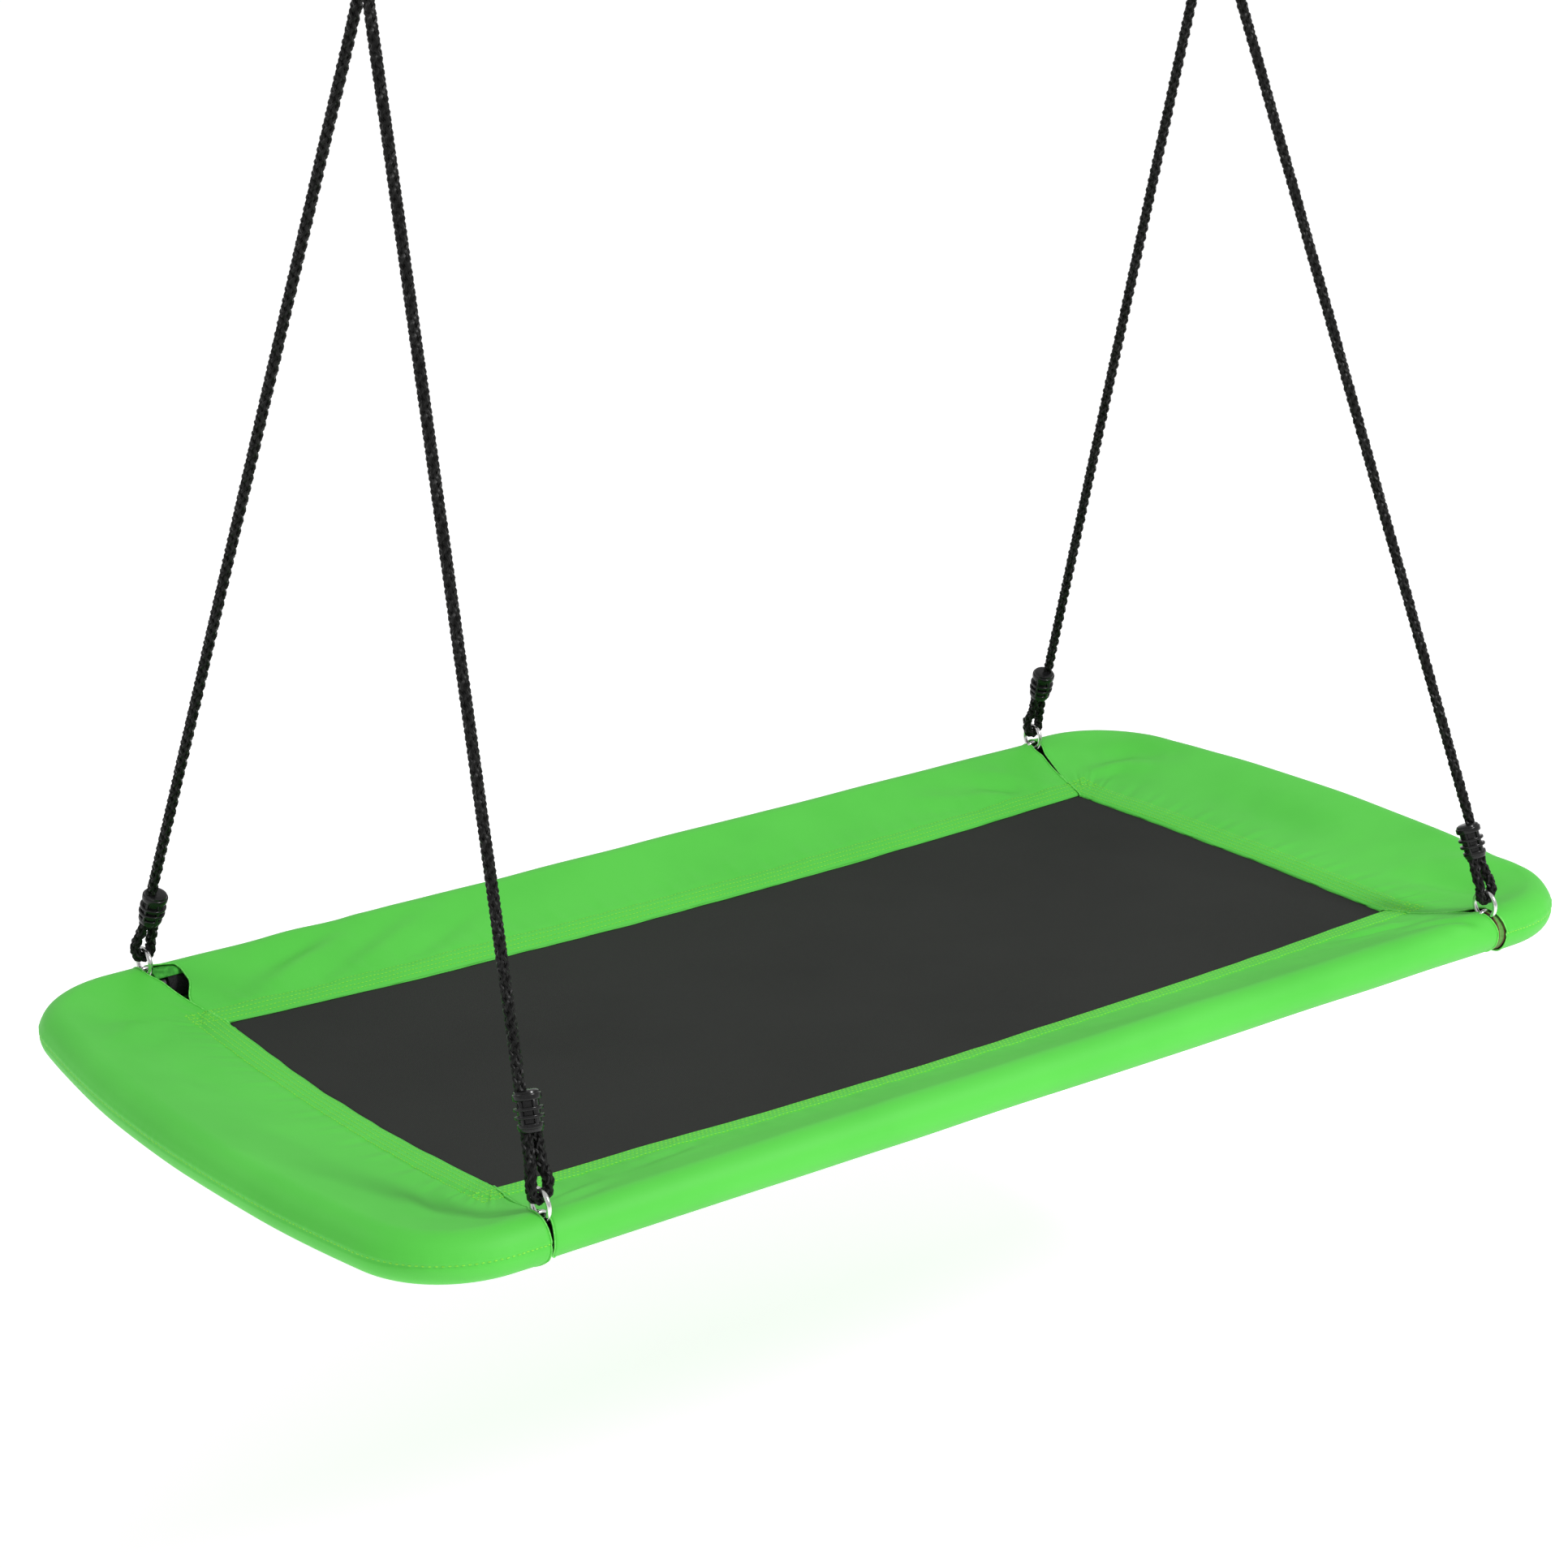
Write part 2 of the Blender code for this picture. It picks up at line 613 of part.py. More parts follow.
def hook(name, side, parent):
    head, heel = hook_line()
    at = Vector((side * HANG_X, 0, HOOK_FOOT_Z))
    piece = bar(name, head + heel, HOOK_BAR, "zinc_steel", parent, at)
    slot_depth = HINGE_DROP + hypot(GATE_BAR, TONGUE_BELOW) + GAP
    slot = (TONGUE + 2 * GAP, 3 * HOOK_BAR, 2 * slot_depth)
    cut(piece, block(f"hinge_slot_{name}", at + heel[-1], slot))
    pin_at = at + hinge_point()
    cut(piece, drill(f"pin_hole_{name}", pin_at, (1, 0, 0), PIN_R + GAP + 0.0002, 0.02, 8))
    return piece


def gate(name, side, parent):
    """A round bar whose foot is a flat tongue in the carabiner's slot, turning on the pin."""
    head, heel = hook_line()
    pin_at = hinge_point()
    tip = head[0] - Vector((0, 0, 0.0016))
    foot = pin_at - Vector((0, 0, TONGUE_BELOW))
    at = Vector((side * HANG_X, 0, HOOK_FOOT_Z)) + pin_at
    route = [foot - pin_at, heel[-1] - pin_at, tip - pin_at]
    piece = bar(name, route, GATE_BAR, "zinc_steel", parent, at)
    tongue_top = HINGE_DROP + 0.0032
    for cheek in (-1, 1):
        middle = at + Vector((cheek * (TONGUE / 2 + GATE_BAR), 0, tongue_top - 0.010))
        cut(piece, block(f"cheek_{name}_{cheek}", middle, (2 * GATE_BAR, 0.02, 0.020)))
    cut(piece, drill(f"pin_hole_{name}", at, (1, 0, 0), PIN_R + GAP + 0.0002, 0.02, 8))
    return piece


def gate_pin(name, side, parent):
    at = Vector((side * HANG_X, 0, HOOK_FOOT_Z)) + hinge_point()
    half = Vector((HOOK_BAR * 0.92, 0, 0))
    return bar(name, [-half, half], PIN_R, "zinc_steel", parent, at)


# ---- assembly -----------------------------------------------------------------------------
def build():
    clear_scene()
    platform = joint_empty("platform_joint", (-RING_X, 0, RING_BAR_Z))
    tubes = {}
    for side in SIDE_NAMES:
        tubes[side] = end_tube(side, platform)
        end_foam(side, platform)
        end_sleeve(side, platform)
    for row in ROW_NAMES:
        tubes[ROW_NAMES[row]] = side_tube(row, platform)
        side_foam(row, platform)
        side_sleeve(row, platform)
    mat(platform)
    for side, side_name in SIDE_NAMES.items():
        swing = joint_empty(f"swing_joint_{side_name}", (side * HANG_X, 0, 0))
        sway = joint_empty(f"sway_joint_{side_name}", (side * HANG_X, 0, EYE_Z))
        ring_at = (side * HANG_X, 0, -HANGING_RING_R)
        round_ring(f"hanging_ring_{side_name}", HANGING_RING_R, HANGING_RING_BAR,
                   (0, 1, 0), swing, ring_at, major=16)
        rope_tube(f"rope_{side_name}", rope_route(side), sway, (side * HANG_X, 0, EYE_Z))
        collar(f"rope_collar_{side_name}", side, sway)
        hook(f"carabiner_{side_name}", side, None)
        gate(f"gate_{side_name}", side, None)
        gate_pin(f"gate_pin_{side_name}", side, None)
        for row, row_name in ROW_NAMES.items():
            corner = f"{row_name}_{side_name}"
            x, y = side * RING_X, row * TUBE_Y
            staple(f"ring_staple_{corner}", x, y, platform)
            backing = plate(f"staple_plate_{corner}", x, y, platform)
            screw_x = side * (RING_X - SCREW_INSET)
            screw(f"joint_screw_{corner}", screw_x, y, platform)
            corner_holes(side, row, [tubes[side], tubes[row_name]], backing, corner)
            round_ring(f"lower_ring_{corner}", LOWER_RING_R, LOWER_RING_BAR, (1, 0, 0), sway,
                       (x, y, RING_BAR_Z + LOWER_RING_R))
            adjuster(corner, side, row, sway)
            rope_tube(f"rope_tail_{corner}", tail_route(side, row), sway, (x, y, BIGHT_Z))


build()
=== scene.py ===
# %% [markdown]
# # A padded platform swing on two rope bridles
# This file dresses a measured swing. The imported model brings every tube, ring and joint at its real
# size, so nothing here is moved or resized. Each step says what the piece is on the real swing, how
# it could be made in Blender, and why one way was picked. Everything is in metres, with +X along the
# platform, -Y towards its front and the origin on the line that the swing hangs from.

from math import acos, asin, atan2, cos, exp, pi, radians, sin, sqrt

import bmesh
import bpy
from mathutils import Matrix, Vector, noise
from mathutils.bvhtree import BVHTree


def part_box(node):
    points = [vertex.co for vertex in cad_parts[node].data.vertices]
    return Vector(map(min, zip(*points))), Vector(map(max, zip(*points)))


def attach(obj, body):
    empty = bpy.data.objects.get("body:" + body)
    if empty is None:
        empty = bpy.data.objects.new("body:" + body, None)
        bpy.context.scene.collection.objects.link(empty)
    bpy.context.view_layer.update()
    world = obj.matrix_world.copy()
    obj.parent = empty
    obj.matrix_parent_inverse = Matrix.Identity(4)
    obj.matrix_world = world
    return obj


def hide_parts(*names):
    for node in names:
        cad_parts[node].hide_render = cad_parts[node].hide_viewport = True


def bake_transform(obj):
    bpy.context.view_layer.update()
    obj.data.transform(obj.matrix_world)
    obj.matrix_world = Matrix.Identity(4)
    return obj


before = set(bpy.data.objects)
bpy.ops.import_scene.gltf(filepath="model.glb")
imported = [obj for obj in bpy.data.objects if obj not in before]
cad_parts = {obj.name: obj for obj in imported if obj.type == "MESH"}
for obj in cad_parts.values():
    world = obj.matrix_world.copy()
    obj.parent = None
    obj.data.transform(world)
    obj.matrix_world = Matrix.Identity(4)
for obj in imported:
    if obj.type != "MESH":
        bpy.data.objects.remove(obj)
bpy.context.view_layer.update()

# %% [markdown]
# ## Read the sizes that everything else hangs on
# A cover that is to sit on a tube needs the tube's radius and place. Typing them again would let the
# two drift apart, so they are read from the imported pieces' boxes. Only the shape of the end bow,
# which a box can't tell, is named again here.

# %% Sizes from the frame
UP = Vector((0, 0, 1))
SIDES = {"left": -1, "right": 1}
ROWS = {"front": -1, "back": 1}
CORNERS = [(side, row) for side in SIDES for row in ROWS]

tube_low, tube_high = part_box("side_tube_back")
TUBE_R = (tube_high.z - tube_low.z) / 2
MID_Z = (tube_high.z + tube_low.z) / 2
TUBE_Y = (tube_high.y + tube_low.y) / 2
end_low, end_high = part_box("end_tube_right")
TUBE_END_X = end_high.x - TUBE_R
TUBE_FOOT_X = end_low.x
mat_low, mat_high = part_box("mat")
MAT_X, MAT_Y = mat_high.x, mat_high.y
MAT_Z = (mat_high.z + mat_low.z) / 2
MAT_HALF = (mat_high.z - mat_low.z) / 2
END_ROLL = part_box("end_sleeve_right")[1].z - MID_Z
SIDE_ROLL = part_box("side_sleeve_back")[1].z - MID_Z
ring_low, ring_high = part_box("lower_ring_back_right")
RING_X = (ring_low.x + ring_high.x) / 2
LOWER_BAR = (ring_high.x - ring_low.x) / 2
LOWER_R = (ring_high.z - ring_low.z) / 2 - LOWER_BAR
RING_MID_Z = (ring_low.z + ring_high.z) / 2
hang_low, hang_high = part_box("hanging_ring_right")
HANG_X = (hang_low.x + hang_high.x) / 2
HANGING_BAR = (hang_high.y - hang_low.y) / 2
HANGING_R = (hang_high.z - hang_low.z) / 2 - HANGING_BAR
BOW_R = 1.60
CORNER_R = 0.088
print(f"tube {TUBE_R * 2000:.1f} mm across, rings at {RING_X:.3f} and {TUBE_Y:.3f}")


def corner_name(side, row):
    return f"{row}_{side}"


# %% [markdown]
# ## Camera
# The swing is seen from its front left corner, a little above the platform, through a long lens that
# keeps its far end nearly as large as its near one. A camera looks down its own -Z axis, so it is
# tipped up from straight down by a right angle less the tilt, then turned about Z.

# %% Make the camera
CAMERA_AT = Vector((-2.141, -2.758, 0.239))
CAMERA_PAN = 0.648
CAMERA_TILT = 0.3277
CAMERA_ROLL = -0.006
CAMERA_LENS = 84.0

camera_data = bpy.data.cameras.new("camera")
camera_data.lens = CAMERA_LENS
camera = bpy.data.objects.new("camera", camera_data)
turn = Matrix.Rotation(-CAMERA_PAN, 4, "Z") @ Matrix.Rotation(pi / 2 - CAMERA_TILT, 4, "X")
camera.matrix_world = Matrix.Translation(CAMERA_AT) @ turn @ Matrix.Rotation(CAMERA_ROLL, 4, "Z")
bpy.context.scene.collection.objects.link(camera)
bpy.context.scene.camera = camera

# %% [markdown]
# ## Helpers for every piece
# Two small helpers keep the cells short. One turns a bmesh into a linked object, the other sweeps a
# round section along a line, which a curve with a bevel does well. The swept curve is made a mesh at
# once, so that its place is in its vertices, as it is in the frame's own pieces.


# %% Finish a bmesh, sweep a line
def finish_piece(name, shape, sharp=35):
    mesh = bpy.data.meshes.new(name)
    shape.to_mesh(mesh)
    shape.free()
    mesh.shade_smooth()
    mesh.set_sharp_from_angle(angle=radians(sharp))
    piece = bpy.data.objects.new(name, mesh)
    bpy.context.scene.collection.objects.link(piece)
    return piece


def swept(name, lines, radii, roundness=4, caps=True, closed=False):
    """Round bars along one or more lines, each with its own radius, as one mesh."""
    parts = bmesh.new()
    for line, radius in zip(lines, radii):
        curve = bpy.data.curves.new(name, "CURVE")
        curve.dimensions = "3D"
        curve.bevel_depth = radius
        curve.bevel_resolution = roundness
        curve.use_fill_caps = caps and not closed
        spline = curve.splines.new("POLY")
        spline.points.add(len(line) - 1)
        for target, point in zip(spline.points, line):
            target.co = (*point, 1)
        spline.use_cyclic_u = closed
        guide = bpy.data.objects.new(name + "_line", curve)
        bpy.context.scene.collection.objects.link(guide)
        mesh = bpy.data.meshes.new_from_object(guide)
        parts.from_mesh(mesh)
        bpy.data.objects.remove(guide)
        bpy.data.meshes.remove(mesh)
        bpy.data.curves.remove(curve)
    if caps and not closed:
        bmesh.ops.remove_doubles(parts, verts=parts.verts, dist=0.000002)
    return finish_piece(name, parts)


def along_line(line, step):
    """Evenly spaced points on a smooth curve through a line's own points."""
    points = [Vector(p) for p in line]
    ends = [2 * points[0] - points[1]] + points + [2 * points[-1] - points[-2]]
    fine = []
    for a, b, c, d in zip(ends, ends[1:], ends[2:], ends[3:]):
        t1 = sqrt((b - a).length)
        t2 = t1 + sqrt((c - b).length)
        t3 = t2 + sqrt((d - c).length)
        count = max(4, int((c - b).length / step * 2))
        for i in range(count):
            t = t1 + (t2 - t1) * i / count
            p = a.lerp(b, t / t1)
            q = b.lerp(c, (t - t1) / (t2 - t1))
            r = c.lerp(d, (t - t2) / (t3 - t2))
            p = p.lerp(q, t / t2)
            r = q.lerp(r, (t - t1) / (t3 - t1))
            fine.append(p.lerp(r, (t - t1) / (t2 - t1)))
    fine.append(points[-1])
    even = [fine[0]]
    left = step
    for near, far in zip(fine, fine[1:]):
        run = (far - near).length
        while run > 0 and left <= run:
            even.append(near.lerp(far, left / run))
            left += step
        left -= run
    if (even[-1] - fine[-1]).length < step / 2:
        even.pop()
    even.append(fine[-1])
    return even


# %% [markdown]
# ## Ropes
# Each bridle is one rope. It turns under a front lower ring, runs up to a collar, goes through the
# hanging ring, comes back down and turns under the back ring, and at both ends a short tail goes up
# into an adjuster. The cord is an 8-strand plait: four strands wind one way, four the other, and each
# passes over and under the ones that it crosses. A texture on a smooth tube would do from far off,
# but a plait's outline is bumpy, so the strands are real. All of them follow one long line through
# tail, rope and tail, which is cut into its pieces afterwards so that the plait runs on unbroken.

# %% The ropes' own lines
ROPE_R = 0.00525
STRAND_GAP = 0.0108
BIGHT_R = 0.0086
ADJUSTER_LENGTH = 0.037
TAIL_IN = 0.0355
ADJUSTER_UP = {"front_left": 0.050, "front_right": 0.038, "back_left": 0.034, "back_right": 0.044}
BIGHT_Z = ring_high.z - LOWER_BAR
collar_low, collar_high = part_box("rope_collar_right")
STRAND_Y = ROPE_R + 0.0006
RUN_IN = 0.022
TAIL_GAP = 0.00045
TAIL_ON = 0.004
EYE_Z = -2 * HANGING_R + HANGING_BAR + 0.0003 + ROPE_R


def leg_frame(side, row):
    """A leg's straight strand: its foot, its direction, and the direction to its tail."""
    inward = Vector((-SIDES[side], 0, 0))
    foot = Vector((SIDES[side] * RING_X, ROWS[row] * TUBE_Y, BIGHT_Z)) - inward * STRAND_GAP / 2
    top = Vector((SIDES[side] * HANG_X, ROWS[row] * STRAND_Y, collar_low.z - 0.006))
    along = (top - foot).normalized()
    beside = (inward - along * inward.dot(along)).normalized()
    return foot, top, along, beside


def leg_route(side, row):
    foot, top, along, _ = leg_frame(side, row)
    middle = Vector((SIDES[side] * RING_X, ROWS[row] * TUBE_Y, BIGHT_Z - BIGHT_R))
    inward = Vector((-SIDES[side], 0, 0))
    turn = [(1, 1.50), (0.97, 0.92), (0.66, 0.24), (0, 0), (-0.66, 0.24), (-0.97, 0.92), (-1, 1.50)]
    under = [middle + inward * BIGHT_R * across + UP * BIGHT_R * rise for across, rise in turn]
    run = (top - foot).length
    reach = [0.030, 0.036, 0.045, 0.075, 0.15, 0.30, 0.45, 0.60, 0.75, 0.88]
    straight = [foot + along * step for step in reach if step < run - 0.03]
    return under + straight + [top - along * RUN_IN]


def rope_route(side):
    x = SIDES[side] * HANG_X
    low, high = collar_low.z, collar_high.z
    rising = [(x, -STRAND_Y, z) for z in (low - 0.003, low + 0.006, high - 0.006, high + 0.002)]
    rising += [(x, -0.0100, high + 0.016), (x, -0.0140, high + 0.030), (x, -0.0132, high + 0.043)]
    rising += [(x, -0.0085, EYE_Z - 0.0030), (x, 0, EYE_Z)]
    rising = [Vector(p) for p in rising]
    falling = [Vector((p.x, -p.y, p.z)) for p in reversed(rising[:-1])]
    return leg_route(side, "front") + rising + falling + list(reversed(leg_route(side, "back")))


def tail_route(side, row):
    foot, _, along, beside = leg_frame(side, row)
    met, before = leg_route(side, row)[:2]
    onward = (met - before).normalized()
    base = foot + beside * STRAND_GAP
    rise = ADJUSTER_UP[corner_name(side, row)] + TAIL_IN
    return [
        met + onward * TAIL_GAP,
        met + onward * TAIL_ON,
        base + along * 0.019 + beside * 0.0010,
        base + along * 0.029,
        base + along * 0.036,
        base + along * rise,
    ]


# %% Plait the strands along a line
LAY_LENGTH = 0.046
PLAIT_R = 0.0031
WEAVE = 0.0010
YARN_R = 0.00195
CORE_R = 0.0032
PLAIT_STEP = 0.0022


def travelling_frames(points):
    """A direction and two crosswise directions at each point, without a twist between them."""
    frames = []
    across = None
    for i in range(len(points)):
        along = (points[min(i + 1, len(points) - 1)] - points[max(i - 1, 0)]).normalized()
        if across is None:
            across = along.orthogonal()
        across = (across - along * across.dot(along)).normalized()
        frames.append((along, across, along.cross(across)))
    return frames


def plait(points):
    """The eight strands' lines, and the core's, around a line."""
    frames = travelling_frames(points)
    strands = []
    for hand in (1, -1):
        for start in range(4):
            line = []
            for i, (point, (_, across, up)) in enumerate(zip(points, frames)):
                wind = 2 * pi * i * PLAIT_STEP / LAY_LENGTH
                angle = hand * wind + start * pi / 2
                out = PLAIT_R + hand * WEAVE * cos(4 * wind)
                line.append(point + out * (cos(angle) * across + sin(angle) * up))
            strands.append(line)
    return strands + [list(points)]


def rope_piece(name, strands, first, last):
    lines = [strand[first:last] for strand in strands]
    radii = [YARN_R] * 8 + [CORE_R]
    return swept(name, lines, radii, roundness=1)


ropes = {}
for side in SIDES:
    front_tail = list(reversed(along_line(tail_route(side, "front"), PLAIT_STEP)))
    bridle = along_line(rope_route(side), PLAIT_STEP)
    back_tail = along_line(tail_route(side, "back"), PLAIT_STEP)
    strands = plait(front_tail + bridle + back_tail)
    cut_one, cut_two = len(front_tail), len(front_tail) + len(bridle)
    ends = {"front": (0, cut_one, front_tail), "back": (cut_two, None, back_tail)}
    rope = rope_piece(f"bridle_rope_{side}", strands, cut_one, cut_two)
    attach(rope, f"{side}_bridle")
    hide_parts(f"rope_{side}")
    ropes[side] = [rope]
    for row, (first, last, route) in ends.items():
        corner = corner_name(side, row)
        tail = rope_piece(f"tail_{corner}", strands, first, last)
        foot, _, along, beside = leg_frame(side, row)
        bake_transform(tail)
        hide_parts(f"rope_tail_{corner}")
        ropes[side].append(tail)

# %% [markdown]
# ## Two centre lines for the covers
# A sleeve is a tube of cloth pulled over foam and tube, whose inner edges are sewn together along the
# mat. It is easiest to think of it as one drop-shaped outline that travels along the frame. So each
# sleeve gets a small function that answers one question: at this distance along, where is the tube,
# which way is outwards, and where does the outline meet the mat?

# %% Where the sleeves run
HEM_X = MAT_X + 0.0003
HEM_Y = MAT_Y + 0.0003
HEM_CORNER_Y = MAT_Y - 0.0035
BOW_HEM_Y = HEM_CORNER_Y - 0.024
SIDE_HEM_SHARE = 0.955
LONG_DIP = 0.0105
END_DIP = 0.0090
END_BOW = {-1: 0.004, 1: 0.006}


def arch(place, reach):
    """1 in the middle of a span, falling to 0 at its ends."""
    return 1 - min(1.0, abs(place) / reach) ** 2


def mat_dip(x, y):
    """How far the stretched mat and its hems hang below the frame's line at a place."""
    long = arch(x, MAT_X)
    cross = arch(y, MAT_Y)
    left = min(1.0, max(0.0, (1 - x / MAT_X) / 2))
    return LONG_DIP * long + END_DIP * cross * left * (1 - 0.6 * long)


def sign_of(value):
    return 1 if value > 0 else -1


def end_bow(side_sign, y):
    """How far an end of the mat bows outwards."""
    return END_BOW[side_sign] * arch(y, MAT_Y)


bow_x = TUBE_END_X - BOW_R
corner_y = TUBE_Y - CORNER_R
corner_x = bow_x + sqrt((BOW_R - CORNER_R) ** 2 - corner_y**2)
BOW_TURN = asin(corner_y / (BOW_R - CORNER_R))
BOW_HALF = BOW_R * BOW_TURN
BEND = CORNER_R * (pi / 2 - BOW_TURN)
ARM = corner_x - RING_X
END_HALF = BOW_HALF + BEND + ARM


def end_station(distance, side):
    """Tube centre, outward direction and hem point, by distance from the end's middle."""
    row = 1 if distance >= 0 else -1
    far = abs(distance)
    if far <= BOW_HALF:
        angle = far / BOW_R
        middle = Vector((bow_x + BOW_R * cos(angle), BOW_R * sin(angle), MID_Z))
    elif far <= BOW_HALF + BEND:
        angle = BOW_TURN + (far - BOW_HALF) / CORNER_R
        middle = Vector((corner_x + CORNER_R * cos(angle), corner_y + CORNER_R * sin(angle), MID_Z))
    else:
        angle = pi / 2
        middle = Vector((corner_x - (far - BOW_HALF - BEND), TUBE_Y, MID_Z))
    out = Vector((cos(angle), sin(angle), 0))
    if far <= BOW_HALF:
        hem_y = far * BOW_HEM_Y / BOW_HALF
    else:
        share = min(1, (far - BOW_HALF) / (BEND + ARM))
        hem_y = HEM_CORNER_Y - (HEM_CORNER_Y - BOW_HEM_Y) * (1 - share) ** 1.5
    hem = Vector((HEM_X + end_bow(SIDES[side], hem_y), hem_y, MAT_Z))
    for point in (middle, out, hem):
        point.x *= SIDES[side]
        point.y *= row
    hem.z -= mat_dip(hem.x, hem.y)
    return middle, out, hem


def side_station(distance, row):
    way = ROWS[row]
    middle = Vector((distance, way * TUBE_Y, MID_Z))
    hem = Vector((distance * SIDE_HEM_SHARE, way * HEM_Y, MAT_Z))
    hem.z -= mat_dip(hem.x, hem.y)
    return middle, Vector((0, way, 0)), hem


# %% [markdown]
# ## The drop-shaped outline
# The outline starts at the hem, runs up the top panel, goes round the foam and comes back under it to
# the hem. The panels are straight lines that leave the round part as tangents, which is what cloth
# does when it is pulled over a roller. `where` runs from 0 to 1 round the outline, and the function
# says which zone it is in, because seams, hollows and gathers belong to a zone.

# %% One point of the outline
TOP_SHARE = 0.40
ROLL_SHARE = 0.76
UNDER_SHARE = 0.985
ROLL = {"side": SIDE_ROLL, "end": END_ROLL}
SEAM_ANGLE = {"side": radians(-62), "end": radians(5)}
SEAM_SHARE = {"side": 0.68, "end": 0.58}
HEM_HALF = MAT_HALF + 0.0009


def outline_point(kind, station, where):
    """(point, outward normal, zone, place in the zone) on a sleeve's outline."""
    middle, out, hem = station
    roll = ROLL[kind]
    reach = hem - middle
    level = sqrt(reach.x**2 + reach.y**2)
    dip = atan2(-reach.z, level)
    open_angle = acos(roll / reach.length)
    top_angle = pi + dip - open_angle
    low_angle = pi + dip + open_angle - 2 * pi
    top_hem = hem + UP * HEM_HALF
    low_hem = hem - UP * HEM_HALF
    if where < TOP_SHARE:
        share = where / TOP_SHARE
        start = middle + roll * (cos(top_angle) * out + sin(top_angle) * UP)
        return top_hem.lerp(start, share), UP.copy(), "top", share
    if where <= ROLL_SHARE:
        seam, seam_share = SEAM_ANGLE[kind], SEAM_SHARE[kind]
        if where <= seam_share:
            angle = seam + (top_angle - seam) * (seam_share - where) / (seam_share - TOP_SHARE)
        else:
            angle = seam + (low_angle - seam) * (where - seam_share) / (ROLL_SHARE - seam_share)
        normal = cos(angle) * out + sin(angle) * UP
        return middle + roll * normal, normal, "roll", angle
    if where < UNDER_SHARE:
        share = 1 - (where - ROLL_SHARE) / (UNDER_SHARE - ROLL_SHARE)
        start = middle + roll * (cos(low_angle) * out + sin(low_angle) * UP)
        return low_hem.lerp(start, share), -UP, "under", share
    share = (where - UNDER_SHARE) / (1 - UNDER_SHARE)
    return low_hem.lerp(top_hem, share), -out, "edge", share


# %% [markdown]
# ## Mouths, gathers and folds
# Where two sleeves meet at a ring, each mouth is cut to its own curve: close to the ring on top, open
# on the outer side of the tube, and far enough back underneath to clear the plate. The back left
# mouth has slipped and gapes. Real cloth also gathers at its seams and sags between them. These are
# small, smooth offsets along the outline's normal, written as named bumps, so that one can be changed
# without touching the rest. Noise takes the regularity out of them.

# %% Bumps of the cloth
MOUTH_TOP = 0.0050
MOUTH_SHUT = 0.0003
MOUTH_UNDER = 0.0135
MOUTH_OUT = {
    ("side", "front_left"): 0.0004, ("end", "front_left"): 0.0046,
    ("side", "front_right"): 0.0005, ("end", "front_right"): 0.0100,
    ("side", "back_left"): 0.0060, ("end", "back_left"): 0.0060,
    ("side", "back_right"): 0.0040, ("end", "back_right"): 0.0050,
}
MOUTH_PANEL = {("side", "back_right"): 0.0020, ("end", "back_right"): 0.0024,
               ("side", "back_left"): 0.0005, ("end", "back_left"): 0.0004,
               ("side", "front_right"): 0.0002, ("end", "front_right"): 0.0010}
GAPE = {("side", "back_left"): 0.027}
HEM_BAND = {"side": 0.029, "end": 0.034}
SLOW_RISE = 0.0011
HOLLOW = {"side": 0.0026, "end": 0.0042}
GATHER = 0.00042
GATHER_PITCHES = (0.031, 0.019)
HEM_STEP = 0.0009
HEM_GROOVE = 0.0006
PULL = 0.0010
PUCKER = {"side": 0.00005, "end": 0.00050}
PUCKER_PITCH = 0.0115
SEAM_GROOVE = 0.0009
SEAM_ROLL = 0.0006


def smooth(share):
    share = max(0.0, min(1.0, share))
    return share * share * (3 - 2 * share)


def mouth(kind, corner, zone, place):
    """How far a sleeve's mouth stays from its ring's plane, round the outline."""
    side_gap = MOUTH_OUT[(kind, corner)]
    if zone == "roll":
        if place >= 0:
            gap = MOUTH_TOP + (side_gap - MOUTH_TOP) * smooth(1 - place / (pi / 2))
        else:
            gap = side_gap + (MOUTH_UNDER - side_gap) * smooth((-place - radians(35)) / radians(50))
        gape = GAPE.get((kind, corner), 0) * smooth((place - radians(66)) / radians(38))
        return gap + gape
    if zone == "edge":
        return MOUTH_SHUT
    if zone == "under":
        return MOUTH_SHUT + (MOUTH_UNDER - MOUTH_SHUT) * smooth((place - 0.25) / 0.6)
    gap = MOUTH_SHUT + (MOUTH_TOP - MOUTH_SHUT) * smooth((place - 0.78) / 0.17)
    gap += MOUTH_PANEL.get((kind, corner), 0) * sin(pi * max(0.0, (place - 0.24) / 0.76))
    gap += GAPE.get((kind, corner), 0) * smooth((place - 0.40) / 0.42)
    return gap


def bump(distance, width):
    return exp(-((distance / width) ** 2))


